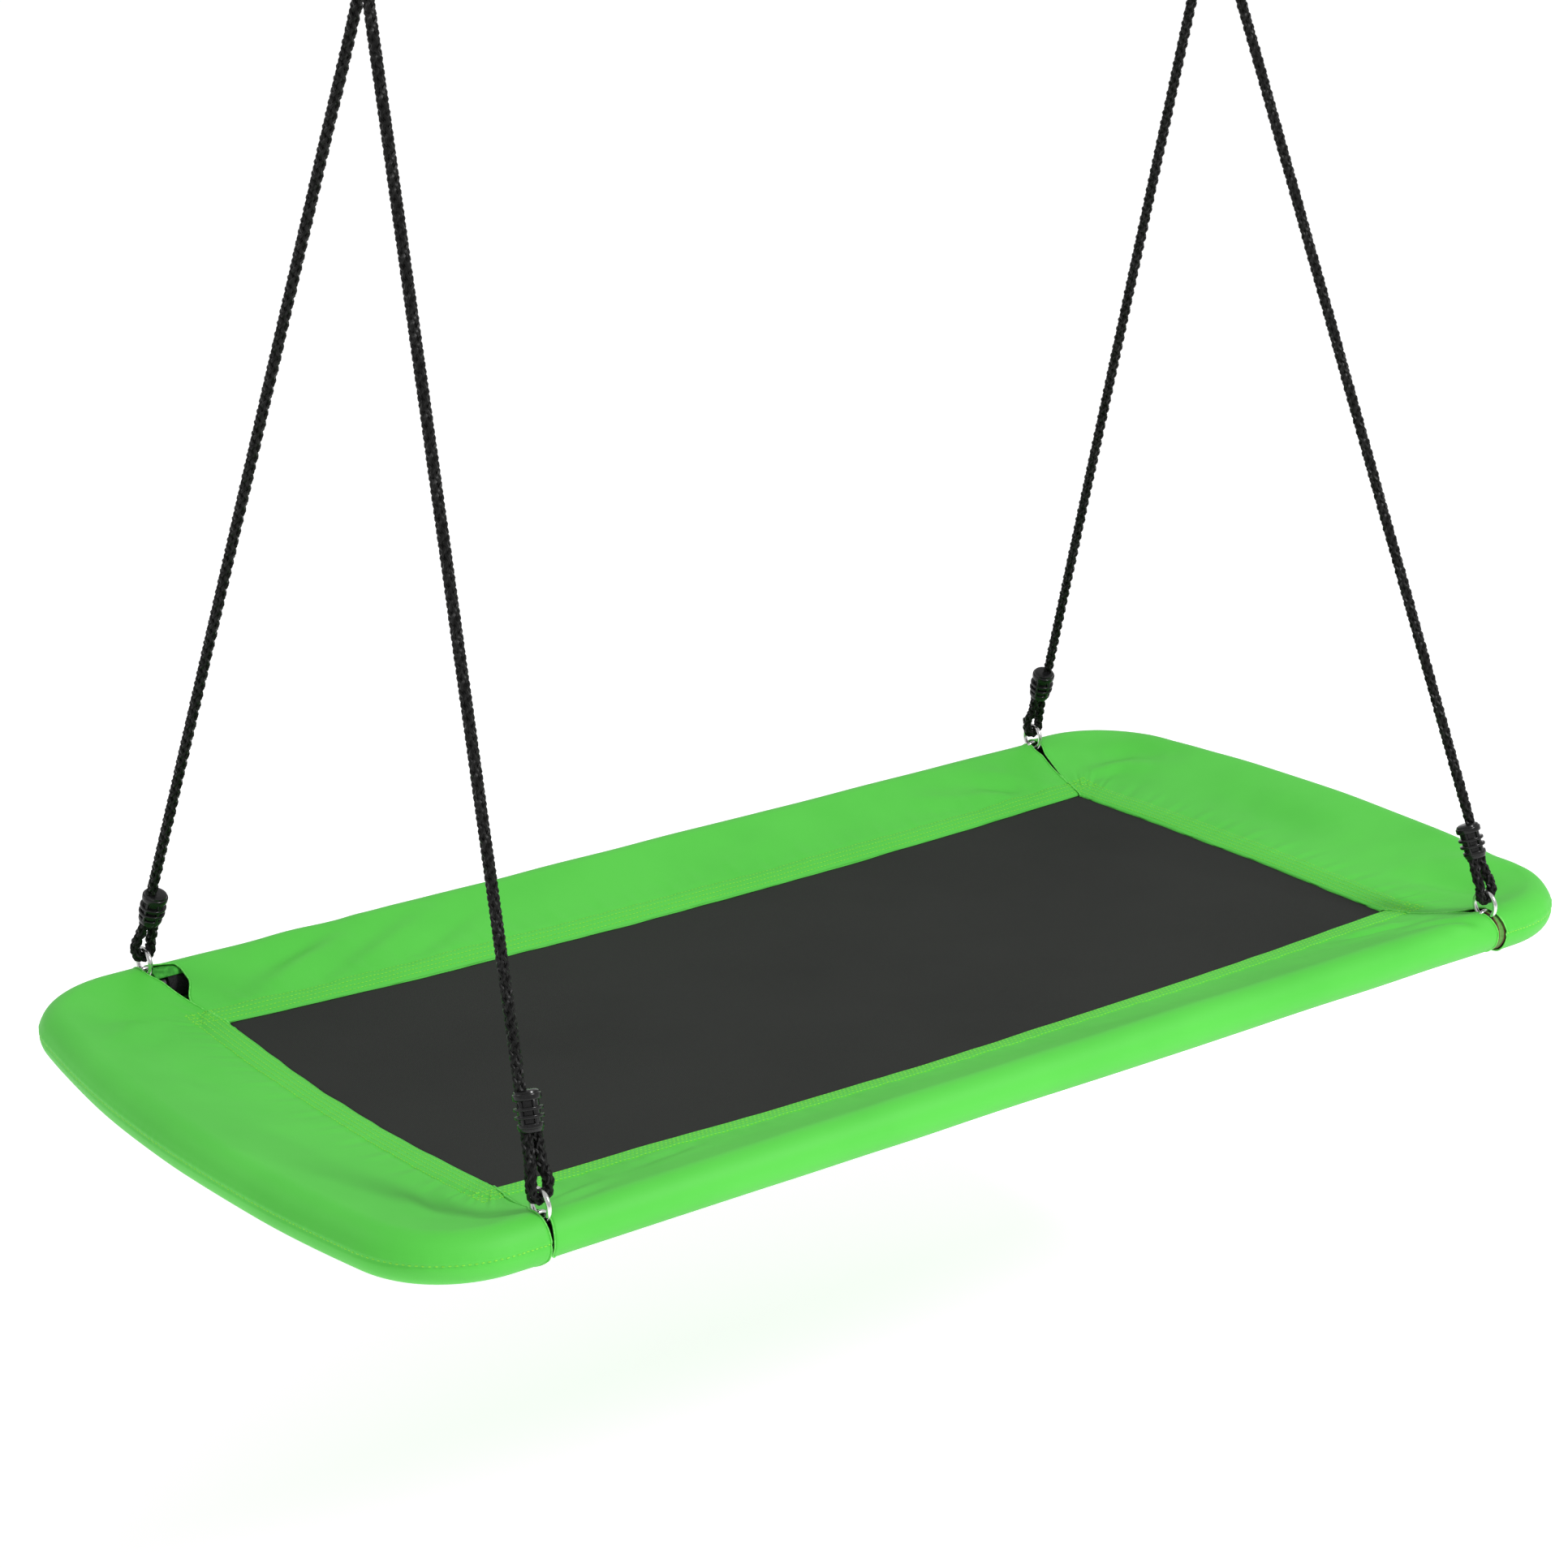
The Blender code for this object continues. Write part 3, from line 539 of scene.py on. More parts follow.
def relief(kind, zone, place, along, point, width, seed, folds):
    """Offset of the cloth along its normal, in metres."""
    slow = noise.noise(point * 9 + Vector((seed, 0, 0)))
    drift = noise.noise(Vector((along * 5, seed, 3.1)))
    rise = SLOW_RISE * slow
    if zone in ("top", "under"):
        inward = width * place
        band = HEM_BAND[kind]
        rise -= HOLLOW[kind] * sin(pi * place) ** 1.3 * (1 if zone == "top" else -0.6)
        past_hem = inward - band
        wide, narrow = [2 * pi * along / pitch for pitch in GATHER_PITCHES]
        gathers = sin(wide + 5 * drift) + 0.6 * sin(narrow + 9 * drift)
        rise += GATHER * gathers * bump(past_hem - 0.010, 0.020)
        rise += HEM_STEP * smooth((band - inward) / 0.0040)
        rise -= HEM_GROOVE * bump(past_hem - 0.001, 0.0030)
        pull = noise.noise(Vector((along * 26, place * 2.3, seed + 7)))
        rise += PULL * pull * sin(pi * place)
    if zone == "roll":
        off_seam = (place - SEAM_ANGLE[kind]) * ROLL[kind]
        strength = 0.6 + 0.5 * noise.noise(Vector((along * 30, seed, 9)))
        pucker = sin(2 * pi * along / PUCKER_PITCH + 7 * drift) * strength
        rise += PUCKER[kind] * pucker * bump(off_seam - 0.002, 0.0065)
        rise -= SEAM_GROOVE * bump(off_seam + 0.0012, 0.0016)
        rise += SEAM_ROLL * bump(off_seam - 0.0028, 0.0022)
    if zone not in ("top", "roll"):
        return rise
    here = Vector((along, width * place if zone == "top" else width + (radians(104) - place) * SIDE_ROLL))
    for first, second, thick, depth in folds:
        run = Vector(second) - Vector(first)
        off = here - Vector(first)
        share = max(0.0, min(1.0, off.dot(run) / run.length_squared))
        gap = (off - share * run).length
        fade = sin(pi * min(0.92, max(0.08, share)))
        rise += depth * fade * (bump(gap, thick) - 0.45 * bump(gap - 1.9 * thick, thick))
    return rise


# %% [markdown]
# ## The four sleeves
# Each sleeve starts as a flat bmesh grid. Its columns are laid along the frame and its rows round the
# outline, as a sewer would wrap a cut panel round the tube, and its last row is welded to its first.
# The flat grid's own coordinates are kept as a UV map in metres, so a weave drawn on it follows the
# cloth. Solidify gives the cloth its thickness and the mouths their lining.

# %% Wrap a grid round a centre line
CLOTH = 0.0011
COLUMN = 0.0040
ROUND = {"side": 120, "end": 150}
EASE = 0.055
FAR_OFF = 9
MOUTH_REACH = 0.012
GAPE_LIFT = 0.009
GAPE_FLARE = 0.004


def sleeve_point(kind, station_at, half, corners, where, distance, seed, folds):
    """A point of a sleeve: its outline, slid to the mouth's curve and raised by the cloth."""
    _, _, zone, place = outline_point(kind, station_at(distance), where)
    for sign, corner in corners.items():
        gap = mouth(kind, corner, zone, place)
        to_mouth = half - abs(distance) if distance * sign > 0 else FAR_OFF
        distance -= sign * gap * exp(-to_mouth / EASE)
    middle, out, hem = station_at(distance)
    point, normal, zone, place = outline_point(kind, (middle, out, hem), where)
    width = (Vector((hem.x, hem.y, 0)) - Vector((middle.x, middle.y, 0))).length
    rise = relief(kind, zone, place, distance, point, width, seed, folds)
    near_mouth = exp(-(half - abs(distance)) / MOUTH_REACH)
    if zone == "edge" or (zone != "roll" and place < 0.02):
        rise = 0.0006 * noise.noise(Vector((distance * 30, seed, 1)))
    wave = 0.0011 * noise.noise(Vector((distance * 22, seed, 5)))
    wave += 0.0016 * noise.noise(Vector((distance * 7, seed, 8)))
    fade = bump(width * place if zone in ("top", "under") else (0 if zone == "edge" else 1), 0.02)
    inward = (hem - middle).normalized()
    point = point + inward * (wave + 0.0012) * fade + normal * rise
    corner = corners[1 if distance > 0 else -1]
    lift = GAPE.get((kind, corner), 0)
    if lift and zone == "top":
        point.z += GAPE_LIFT * near_mouth * bump(place - 0.80, 0.20)
    if lift and zone == "roll" and place > 0.5:
        point += normal * GAPE_FLARE * near_mouth * smooth(place - 0.5)
    return point


def sleeve(name, kind, station_at, half, corners, seed, folds):
    columns = int(2 * half / COLUMN)
    rows = ROUND[kind]
    shape = bmesh.new()
    bmesh.ops.create_grid(shape, x_segments=columns, y_segments=rows, size=1)
    flat = {vert: ((vert.co.x + 1) / 2, (vert.co.y + 1) / 2) for vert in shape.verts}
    cloth_map = shape.loops.layers.uv.new("cloth")
    girth = 2 * pi * ROLL[kind] * 0.55 + 2 * 0.115
    for face in shape.faces:
        for loop in face.loops:
            along, where = flat[loop.vert]
            loop[cloth_map].uv = ((along - 0.5) * 2 * half, where * girth)
    for vert, (along, where) in flat.items():
        distance = (along * 2 - 1) * half
        vert.co = sleeve_point(kind, station_at, half, corners, where, distance, seed, folds)
    bmesh.ops.remove_doubles(shape, verts=shape.verts, dist=0.000001)
    bmesh.ops.recalc_face_normals(shape, faces=shape.faces)
    piece = finish_piece(name, shape, sharp=70)
    wall = piece.modifiers.new("cloth thickness", "SOLIDIFY")
    wall.thickness = CLOTH
    wall.offset = -1
    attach(piece, "platform")
    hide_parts(name.replace("cover", "sleeve"))
    print(f"{name}: {len(piece.data.polygons)} faces")
    return piece


# %% Sew the four sleeves
# Each fold: where it starts and ends, as (along the frame, in from the hem), its width and its height.
FOLDS = {
    "left": [((0.22, 0.150), (0.32, 0.080), 0.014, 0.0032),
             ((0.02, 0.090), (0.24, 0.105), 0.022, -0.0030),
             ((-0.34, 0.100), (-0.24, 0.060), 0.014, -0.0026)],
    "right": [((-0.23, 0.080), (-0.36, 0.130), 0.016, -0.0048),
              ((-0.20, 0.120), (-0.30, 0.175), 0.018, 0.0034),
              ((0.24, 0.150), (0.35, 0.110), 0.015, -0.0046),
              ((0.27, 0.110), (0.37, 0.060), 0.011, 0.0030),
              ((-0.10, 0.085), (0.14, 0.105), 0.024, -0.0026)],
    "front": [((0.46, 0.034), (0.565, 0.074), 0.008, -0.0036),
              ((0.53, 0.105), (0.575, 0.140), 0.007, -0.0026),
              ((0.50, 0.080), (0.565, 0.104), 0.009, 0.0024),
              ((-0.50, 0.075), (-0.575, 0.100), 0.010, 0.0026),
              ((-0.47, 0.060), (-0.36, 0.036), 0.009, -0.0018)],
    "back": [((-0.53, 0.034), (-0.38, 0.090), 0.013, 0.0044),
             ((-0.50, 0.080), (-0.36, 0.118), 0.012, -0.0036),
             ((-0.42, 0.035), (-0.27, 0.095), 0.013, 0.0038),
             ((-0.34, 0.035), (-0.20, 0.100), 0.013, -0.0026),
             ((0.53, 0.040), (0.46, 0.085), 0.012, -0.0044),
             ((0.50, 0.036), (0.36, 0.085), 0.013, 0.0026),
             ((0.05, 0.040), (0.22, 0.095), 0.016, 0.0016)],
}
# Each sleeve: its kind, centre line, half length, corners, seed of its noise, and folds.
SEWN = {}
for number, side in enumerate(SIDES):
    ends = {-1: corner_name(side, "front"), 1: corner_name(side, "back")}
    line = lambda d, side=side: end_station(d, side)
    SEWN[side] = ("end", line, END_HALF, ends, 3 + number, FOLDS[side])
for number, row in enumerate(ROWS):
    ends = {-1: corner_name("left", row), 1: corner_name("right", row)}
    line = lambda d, row=row: side_station(d, row)
    SEWN[row] = ("side", line, RING_X, ends, 11 + number, FOLDS[row])
covers = {part: sleeve(f"{recipe[0]}_cover_{part}", *recipe) for part, recipe in SEWN.items()}

# %% [markdown]
# ## Rolled rims
# A sleeve's mouth is not a raw cut. The cloth is turned in and sewn, which leaves a soft round edge
# that catches the light. A thin tube swept along the mouth's own curve stands for that roll, and its
# paler green is a painted highlight.

# %% Roll the rims
RIM_R = 0.0008
RIM_POINTS = 150


def rims(name, kind, station_at, half, corners, seed, folds):
    loops = []
    for sign in (-1, 1):
        loops.append([sleeve_point(kind, station_at, half, corners, i / RIM_POINTS, sign * half, seed, folds)
                      for i in range(RIM_POINTS)])
    piece = swept(name, loops, [RIM_R] * 2, closed=True)
    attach(piece, "platform")
    return piece


edges_rolled = [rims(f"rims_{part}", *recipe) for part, recipe in SEWN.items()]

# %% [markdown]
# ## Stitching
# Rows of thick bright thread hold each hem to the mat, and at the corners the rows of both sleeves
# cross in a square. A stitch is a small grain of thread, so each is a squashed icosphere of twenty
# faces. The rows are straight lines seen from above, and a ray cast down, or up from below, finds the
# cloth under every stitch, so the thread follows each wrinkle. Each long seam gets a row too.

# %% Find the cloth under a row
STITCH = 0.0034
STITCH_PITCH = 0.0046
STITCH_SHAPE = (1, 0.40, 0.28, 1)
PROUD = 0.0001
SEAM_PROUD = 0.0002
HEM_ROWS = {"side": [0.0045 + 0.0070 * i for i in range(4)], "end": [0.0045 + 0.0065 * i for i in range(5)]}
REACH_PAST = {"side": 0.034, "end": 0.029}


def cloth_tree():
    """One search tree over the outer skins of the four sleeves."""
    points, faces = [], []
    for cover in covers.values():
        first = len(points)
        points += [vert.co.copy() for vert in cover.data.vertices]
        faces += [[first + i for i in face.vertices] for face in cover.data.polygons]
    return BVHTree.FromPolygons(points, faces)


skins = cloth_tree()


def laid_row(first, last, face_up):
    """(point, direction, normal) of the stitches of a straight row laid on the cloth."""
    count = int((last - first).length / STITCH_PITCH)
    drop = UP * (-1 if face_up else 1)
    start_z = Vector((0, 0, MID_Z)) - drop * 0.1
    spots = []
    for i in range(count):
        here = first.lerp(last, (i + 0.5) / count)
        if first.x == last.x:
            here.x += sign_of(here.x) * end_bow(sign_of(here.x), here.y)
        point, normal, _, _ = skins.ray_cast(here + start_z, drop, 0.2)
        if point is None:
            continue
        normal = normal if normal.dot(drop) < 0 else -normal
        direction = (last - first).normalized()
        direction = (direction - normal * direction.dot(normal)).normalized()
        spots.append((point + normal * PROUD, direction, normal))
    return spots


def stitch_line(rows, spots):
    """Adds one stitch at each spot."""
    shape = bmesh.new()
    for point, direction, normal in spots:
        turn = Matrix((direction, normal.cross(direction), normal)).transposed().to_4x4()
        place = Matrix.Translation(point) @ turn @ Matrix.Diagonal(STITCH_SHAPE)
        bmesh.ops.create_icosphere(shape, subdivisions=1, radius=STITCH / 2, matrix=place)
    mesh = bpy.data.meshes.new("stitch_row")
    shape.to_mesh(mesh)
    shape.free()
    rows.from_mesh(mesh)
    bpy.data.meshes.remove(mesh)


# %% Sew the hems and the seams
threads = []
for part, (kind, station_at, half, ends, seed, folds) in SEWN.items():
    rows = bmesh.new()
    for inward in HEM_ROWS[kind]:
        if kind == "side":
            reach, level = MAT_X + REACH_PAST[kind], ROWS[part] * (MAT_Y + inward)
            first, last = Vector((-reach, level, 0)), Vector((reach, level, 0))
        else:
            reach, level = MAT_Y + REACH_PAST[kind], SIDES[part] * (MAT_X + inward)
            first, last = Vector((level, -reach, 0)), Vector((level, reach, 0))
        stitch_line(rows, laid_row(first, last, True))
        stitch_line(rows, laid_row(first, last, False))
    spots = []
    count = int(2 * half / STITCH_PITCH)
    seam = SEAM_SHARE[kind]
    for i in range(count):
        near, middle, far = [-half + 2 * half * (i + step) / count for step in (0.30, 0.5, 0.70)]
        near, far = [sleeve_point(kind, station_at, half, ends, seam, distance, seed, folds)
                     for distance in (near, far)]
        direction = (far - near).normalized()
        _, normal, _, _ = outline_point(kind, station_at(middle), seam)
        normal = (normal - direction * normal.dot(direction)).normalized()
        spots.append((near.lerp(far, 0.5) + normal * SEAM_PROUD, direction, normal))
    stitch_line(rows, spots)
    piece = finish_piece(f"stitching_{part}", rows)
    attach(piece, "platform")
    threads.append(piece)
    print(f"{piece.name}: {len(piece.data.polygons) // 20} stitches")

# %% [markdown]
# ## The mat
# The mat is a woven sheet that the sleeves hold on all four sides. A pulled sheet is nearly flat, yet
# it hangs a little between its corners, hems and all, and it puckers where a hem grips it. A fine grid
# is lowered by the same function as the hems, and a thin wall makes it a real sheet.

# %% Stretch the mat
MAT_CELL = 0.006
MAT_RISE = 0.0006
MAT_WALL = 0.0012


def mat_height(x, y):
    edge = min(MAT_X - abs(x), MAT_Y - abs(y))
    pucker = 0.0006 * noise.noise(Vector((x * 16, y * 16, 2.0))) * bump(edge, 0.06)
    ripple = 0.0005 * noise.noise(Vector((x * 5, y * 11, 7.0)))
    return pucker + ripple - mat_dip(x, y)


shape = bmesh.new()
bmesh.ops.create_grid(shape, x_segments=int(2 * MAT_X / MAT_CELL), y_segments=int(2 * MAT_Y / MAT_CELL),
                      size=1)
weave_map = shape.loops.layers.uv.new("cloth")
for vert in shape.verts:
    x, y = vert.co.x * MAT_X, vert.co.y * MAT_Y
    level = MAT_Z + MAT_RISE + mat_height(x, y)
    vert.co = (x + end_bow(sign_of(x), y) * x / MAT_X, y, level)
for face in shape.faces:
    for loop in face.loops:
        loop[weave_map].uv = (loop.vert.co.x, loop.vert.co.y)
mat = finish_piece("mesh_mat", shape)
wall = mat.modifiers.new("weave thickness", "SOLIDIFY")
wall.thickness = MAT_WALL
wall.offset = -1
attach(mat, "platform")
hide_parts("mat")

# %% [markdown]
# ## Adjusters
# An adjuster is a moulded barrel that grips the rope, so that each corner can be raised. It is turned
# round its middle, so half of its outline is spun: two deep collars with rounded rims and two thin
# rings between. Upright ribs join the rings and leave small dark windows all round.

# %% Turn and rib the adjusters
BARREL_R = 0.0133
CORE_R_BARREL = 0.0102
RING_THICK = 0.0031
RIB_SPREAD = 0.56
RIB_TURNS = (-RIB_SPREAD, RIB_SPREAD, pi - RIB_SPREAD, pi + RIB_SPREAD)
RIB_FACING = radians(237)
RIB_SIZE = (0.0034, 0.0032, ADJUSTER_LENGTH - 0.015)


def spun(shape, profile, steps):
    """Spins a profile a full turn round Z and welds the seam."""
    bmesh.ops.spin(shape, geom=profile, cent=(0, 0, 0), axis=(0, 0, 1), dvec=(0, 0, 0),
                   angle=2 * pi, steps=steps, use_merge=True, use_duplicate=False)
    bmesh.ops.remove_doubles(shape, verts=shape.verts, dist=0.00001)
    bmesh.ops.recalc_face_normals(shape, faces=shape.faces)
    return shape


def turned(outline, steps=48, closed=False):
    """A body of revolution round Z from (radius, height) points, which a closed outline makes a ring."""
    shape = bmesh.new()
    verts = [shape.verts.new((radius, 0, height)) for radius, height in outline]
    ahead = verts[1:] + verts[:1] if closed else verts[1:]
    edges = [shape.edges.new(pair) for pair in zip(verts, ahead)]
    return spun(shape, verts + edges, steps)


def rounded_disc(radius, low, high, soft):
    """Outline points of a rim with rounded edges, from its foot up."""
    quarter = [radians(a) for a in (-90, -60, -30, 0)]
    foot = [(radius - soft + soft * cos(a), low + soft + soft * sin(a)) for a in quarter]
    head = [(r, high - (z - low)) for r, z in reversed(foot)]
    return foot + head


def barrel_shape():
    half = ADJUSTER_LENGTH / 2
    core, soft = CORE_R_BARREL, 0.0009
    outline = [(0, -half), (0.0086, -half), (0.0100, -half + 0.0005), (0.0108, -half + 0.0018)]
    outline += rounded_disc(0.0119, -half + 0.0036, -half + 0.0080, soft)
    outline += [(core, -half + 0.0083)]
    for middle in (-0.0048, 0.0022):
        low, high = middle - RING_THICK / 2, middle + RING_THICK / 2
        outline += [(core, low - 0.0002)]
        outline += rounded_disc(BARREL_R, low, high, soft)
        outline += [(core, high + 0.0002)]
    outline += [(core, half - 0.0092)]
    outline += rounded_disc(0.0129, half - 0.0090, half - 0.0030, 0.0013)
    outline += [(0.0112, half - 0.0014), (0.0090, half - 0.0002), (0.0066, half), (0, half)]
    shape = turned(outline)
    for turn in RIB_TURNS:
        place = Matrix.Rotation(RIB_FACING + turn, 4, "Z") @ Matrix.Translation((core + 0.0004, 0, -0.001))
        made = bmesh.ops.create_cube(shape, size=1, matrix=place @ Matrix.Diagonal((*RIB_SIZE, 1)))
        edges = list({edge for vert in made["verts"] for edge in vert.link_edges})
        bmesh.ops.bevel(shape, geom=edges, offset=0.0008, segments=2, profile=0.5, affect="EDGES",
                        material=-1)
    return shape


adjusters = []
for side, row in CORNERS:
    corner = corner_name(side, row)
    foot, _, along, beside = leg_frame(side, row)
    middle = foot + beside * STRAND_GAP / 2 + along * (ADJUSTER_UP[corner] + ADJUSTER_LENGTH / 2)
    shape = barrel_shape()
    turn = Matrix((beside, along.cross(beside), along)).transposed().to_4x4()
    bmesh.ops.transform(shape, matrix=Matrix.Translation(middle) @ turn, verts=shape.verts)
    piece = finish_piece(f"barrel_{corner}", shape)
    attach(piece, f"{corner}_adjuster")
    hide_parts(f"adjuster_{corner}")
    adjusters.append(piece)

# %% [markdown]
# ## Rings
# A welded steel ring is a circle spun round an axis outside it. Spinning a small circle gives even
# faces all round. The lower rings stand in the plane that the ropes pull in.

# %% Spin the rings
def ring_shape(radius, bar, axis):
    shape = bmesh.new()
    upright = Matrix.Translation((radius, 0, 0)) @ Matrix.Rotation(pi / 2, 4, "X")
    made = bmesh.ops.create_circle(shape, segments=18, radius=bar, matrix=upright)
    edges = list({edge for vert in made["verts"] for edge in vert.link_edges})
    spun(shape, made["verts"] + edges, 72)
    turn = Vector(axis).to_track_quat("Z", "X").to_matrix().to_4x4()
    bmesh.ops.transform(shape, matrix=turn, verts=shape.verts)
    return shape


steel = []
for side in SIDES:
    shape = ring_shape(HANGING_R, HANGING_BAR, (0, 1, 0))
    bmesh.ops.translate(shape, verts=shape.verts, vec=(SIDES[side] * HANG_X, 0, -HANGING_R))
    piece = finish_piece(f"top_ring_{side}", shape)
    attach(piece, f"{side}_hanger_ring")
    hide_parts(f"hanging_ring_{side}")
    steel.append(piece)
for side, row in CORNERS:
    shape = ring_shape(LOWER_R, LOWER_BAR, (1, 0, 0))
    place = (SIDES[side] * RING_X, ROWS[row] * TUBE_Y, RING_MID_Z)
    bmesh.ops.translate(shape, verts=shape.verts, vec=place)
    piece = finish_piece(f"corner_ring_{corner_name(side, row)}", shape)
    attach(piece, f"{side}_bridle")
    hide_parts(f"lower_ring_{corner_name(side, row)}")
    steel.append(piece)

# %% [markdown]
# ## Bolts, plates and screws at the corners
# A U-bolt holds each ring: its legs pass down through both tubes into a tapped plate. A domed screw
# with a cross in its head pins the two tubes together. The U-bolt is a swept bar, the plate a block
# with soft edges, and the screw a turned outline whose slots are cut by a Boolean.

# %% Make the corner hardware
PLATE_SOFT = 0.0008
SHANK_R = 0.0019
HEAD_FOOT = 0.0070
HEAD_TOP = 0.0098
SLOT = (0.0045, 0.0022, 0.0009)


def legs_line(x, y, z, half, foot):
    arc = [Vector((x - half * cos(pi * i / 14), y, z + half * sin(pi * i / 14))) for i in range(15)]
    return [Vector((x - half, y, foot))] + arc + [Vector((x + half, y, foot))]


def cut_by(piece, cutter):
    """Cuts one piece by another with a Boolean, applies it and removes the cutter."""
    cut = piece.modifiers.new("cut", "BOOLEAN")
    cut.operation = "DIFFERENCE"
    cut.solver = "EXACT"
    cut.object = cutter
    bpy.context.view_layer.update()
    mesh = bpy.data.meshes.new_from_object(piece.evaluated_get(bpy.context.evaluated_depsgraph_get()))
    piece.modifiers.clear()
    old = piece.data
    piece.data = mesh
    bpy.data.meshes.remove(old)
    bpy.data.objects.remove(cutter)
    piece.data.shade_smooth()
    piece.data.set_sharp_from_angle(angle=radians(35))
    return piece


def soft_block(name, middle, size, soft):
    shape = bmesh.new()
    bmesh.ops.create_cube(shape, size=1, matrix=Matrix.Translation(middle) @ Matrix.Diagonal((*size, 1)))
    if soft:
        bmesh.ops.bevel(shape, geom=list(shape.edges), offset=soft, segments=2, profile=0.5,
                        affect="EDGES", material=-1)
    return finish_piece(name, shape)


for side, row in CORNERS:
    corner = corner_name(side, row)
    x, y = SIDES[side] * RING_X, ROWS[row] * TUBE_Y
    low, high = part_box(f"ring_staple_{corner}")
    leg = (high.y - low.y) / 2
    half = (high.x - low.x) / 2 - leg
    bolt = swept(f"u_bolt_{corner}", [legs_line(x, y, high.z - leg - half, half, low.z)], [leg])
    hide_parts(f"ring_staple_{corner}")
    low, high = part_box(f"staple_plate_{corner}")
    plate = soft_block(f"bolt_plate_{corner}", (low + high) / 2, high - low, PLATE_SOFT)
    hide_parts(f"staple_plate_{corner}")
    low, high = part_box(f"joint_screw_{corner}")
    way = ROWS[row]
    size = (high.x - low.x) / 2
    outline = [(0, 0), (SHANK_R, 0), (SHANK_R, HEAD_FOOT - 0.0002), (size, HEAD_FOOT)]
    outline += [(size * 0.97, 0.0080), (size * 0.80, 0.0090), (size * 0.45, 0.0096), (0, HEAD_TOP)]
    shape = turned(outline, steps=24)
    inner_y = high.y if way < 0 else low.y
    foot = Vector(((low.x + high.x) / 2, inner_y, (low.z + high.z) / 2))
    turn = Matrix.Rotation(-way * pi / 2, 4, "X")
    bmesh.ops.transform(shape, matrix=Matrix.Translation(foot) @ turn, verts=shape.verts)
    screw = finish_piece(f"screw_{corner}", shape)
    head = foot + Vector((0, way * HEAD_TOP, 0))
    for slot in (SLOT, tuple(reversed(SLOT))):
        cut_by(screw, soft_block("slot", head, slot, 0))
    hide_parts(f"joint_screw_{corner}")
    for piece in (bolt, plate, screw):
        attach(piece, "platform")
        steel.append(piece)

# %% [markdown]
# ## Tubes and foam inside the sleeves
# They hardly show, but where two sleeves part at a ring the tube behind them does. Both are swept
# along the same centre lines as the sleeves, so that they can't stray from them.

# %% Sweep the tubes and the foam
END_FOAM_R = END_ROLL - 0.0052
SIDE_FOAM_R = SIDE_ROLL - 0.0042


def straight_bar(name, row, reach, radius):
    y = ROWS[row] * TUBE_Y
    return swept(name, [[(-reach, y, MID_Z), (reach, y, MID_Z)]], [radius], roundness=6)


def end_line(side, foot):
    """Points of an end's tube line, run straight back to a given x at both ends."""
    reach = END_HALF + RING_X - foot
    count = 150
    return [end_station(-reach + 2 * reach * i / count, side)[0] for i in range(count + 1)]


tubes = []
foams = []
for side in SIDES:
    tube = swept(f"bent_tube_{side}", [end_line(side, TUBE_FOOT_X)], [TUBE_R], roundness=6)
    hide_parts(f"end_tube_{side}")
    foam_foot = min(abs(corner.x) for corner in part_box(f"end_foam_{side}"))
    foam = swept(f"bent_foam_{side}", [end_line(side, foam_foot)], [END_FOAM_R], roundness=6)
    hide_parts(f"end_foam_{side}")
    tubes.append(tube)
    foams.append(foam)
for row in ROWS:
    tube = straight_bar(f"straight_tube_{row}", row, TUBE_FOOT_X - 0.0003, TUBE_R)
    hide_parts(f"side_tube_{row}")
    foam = straight_bar(f"straight_foam_{row}", row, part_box(f"side_foam_{row}")[1].x, SIDE_FOAM_R)
    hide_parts(f"side_foam_{row}")
    tubes.append(tube)
    foams.append(foam)
for piece in tubes + foams:
    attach(piece, "platform")

# %% [markdown]
# ## The liner band and the mouth's lining
# Where the front right mouths stand apart, an olive liner shows over the tube, and its brown ends are painted
# shadow where the mouths shade it.
# It is a short ring of cloth with a rolled edge on each side, made by turning one outline. The same
# outline, longer, creased by noise and cut open underneath, is the lining in the gaping mouth, and its darker
# green is painted shade.

# %% Turn the liner band and the lining
BAND_X = (0.0004, 0.0108)
BAND_MIDDLE = RING_X + 0.00545
BAND_UNSHADED_HALF = 0.0036
LINING_X = (0.0052, 0.0480)
CREASE = 0.0011


def turned_band(name, low_x, high_x, radius, y, bead):
    quarter = [radians(a) for a in (180, 120, 60, 0)]
    left = [(radius + bead * sin(a), low_x + bead + bead * cos(a)) for a in quarter]
    right = [(r, high_x - (z - low_x)) for r, z in reversed(left)]
    middle = (low_x + high_x) / 2
    outline = [(radius - 0.002, low_x)] + left + [(radius + 0.0003, middle)] + right
    outline += [(radius - 0.002, high_x)]
    shape = turned(outline, 64, closed=True)
    place = Matrix.Translation((0, y, MID_Z)) @ Matrix.Rotation(pi / 2, 4, "Y")
    bmesh.ops.transform(shape, matrix=place, verts=shape.verts)
    return finish_piece(name, shape)


low_x, high_x = [RING_X + x for x in BAND_X]
band = turned_band("liner_band", low_x, high_x, SIDE_ROLL - 0.0004, -TUBE_Y, 0.0009)
low_x, high_x = [x - RING_X for x in LINING_X]
lining = turned_band("mouth_lining", low_x, high_x, SIDE_ROLL - 0.0014, TUBE_Y, 0.0006)
for vert in lining.data.vertices:
    crease = CREASE * noise.noise(Vector((vert.co.x * 30, (vert.co.z - MID_Z) * 130, vert.co.y * 130)))
    away = Vector((0, vert.co.y - TUBE_Y, vert.co.z - MID_Z))
    vert.co = vert.co + away.normalized() * (crease - 0.0006)
shape = bmesh.new()
shape.from_mesh(lining.data)
low_inside = [v for v in shape.verts if v.co.y < TUBE_Y - 0.012 and v.co.z < MID_Z + 0.013]
bmesh.ops.delete(shape, geom=low_inside, context="VERTS")
bmesh.ops.holes_fill(shape, edges=[edge for edge in shape.edges if edge.is_boundary])
shape.to_mesh(lining.data)
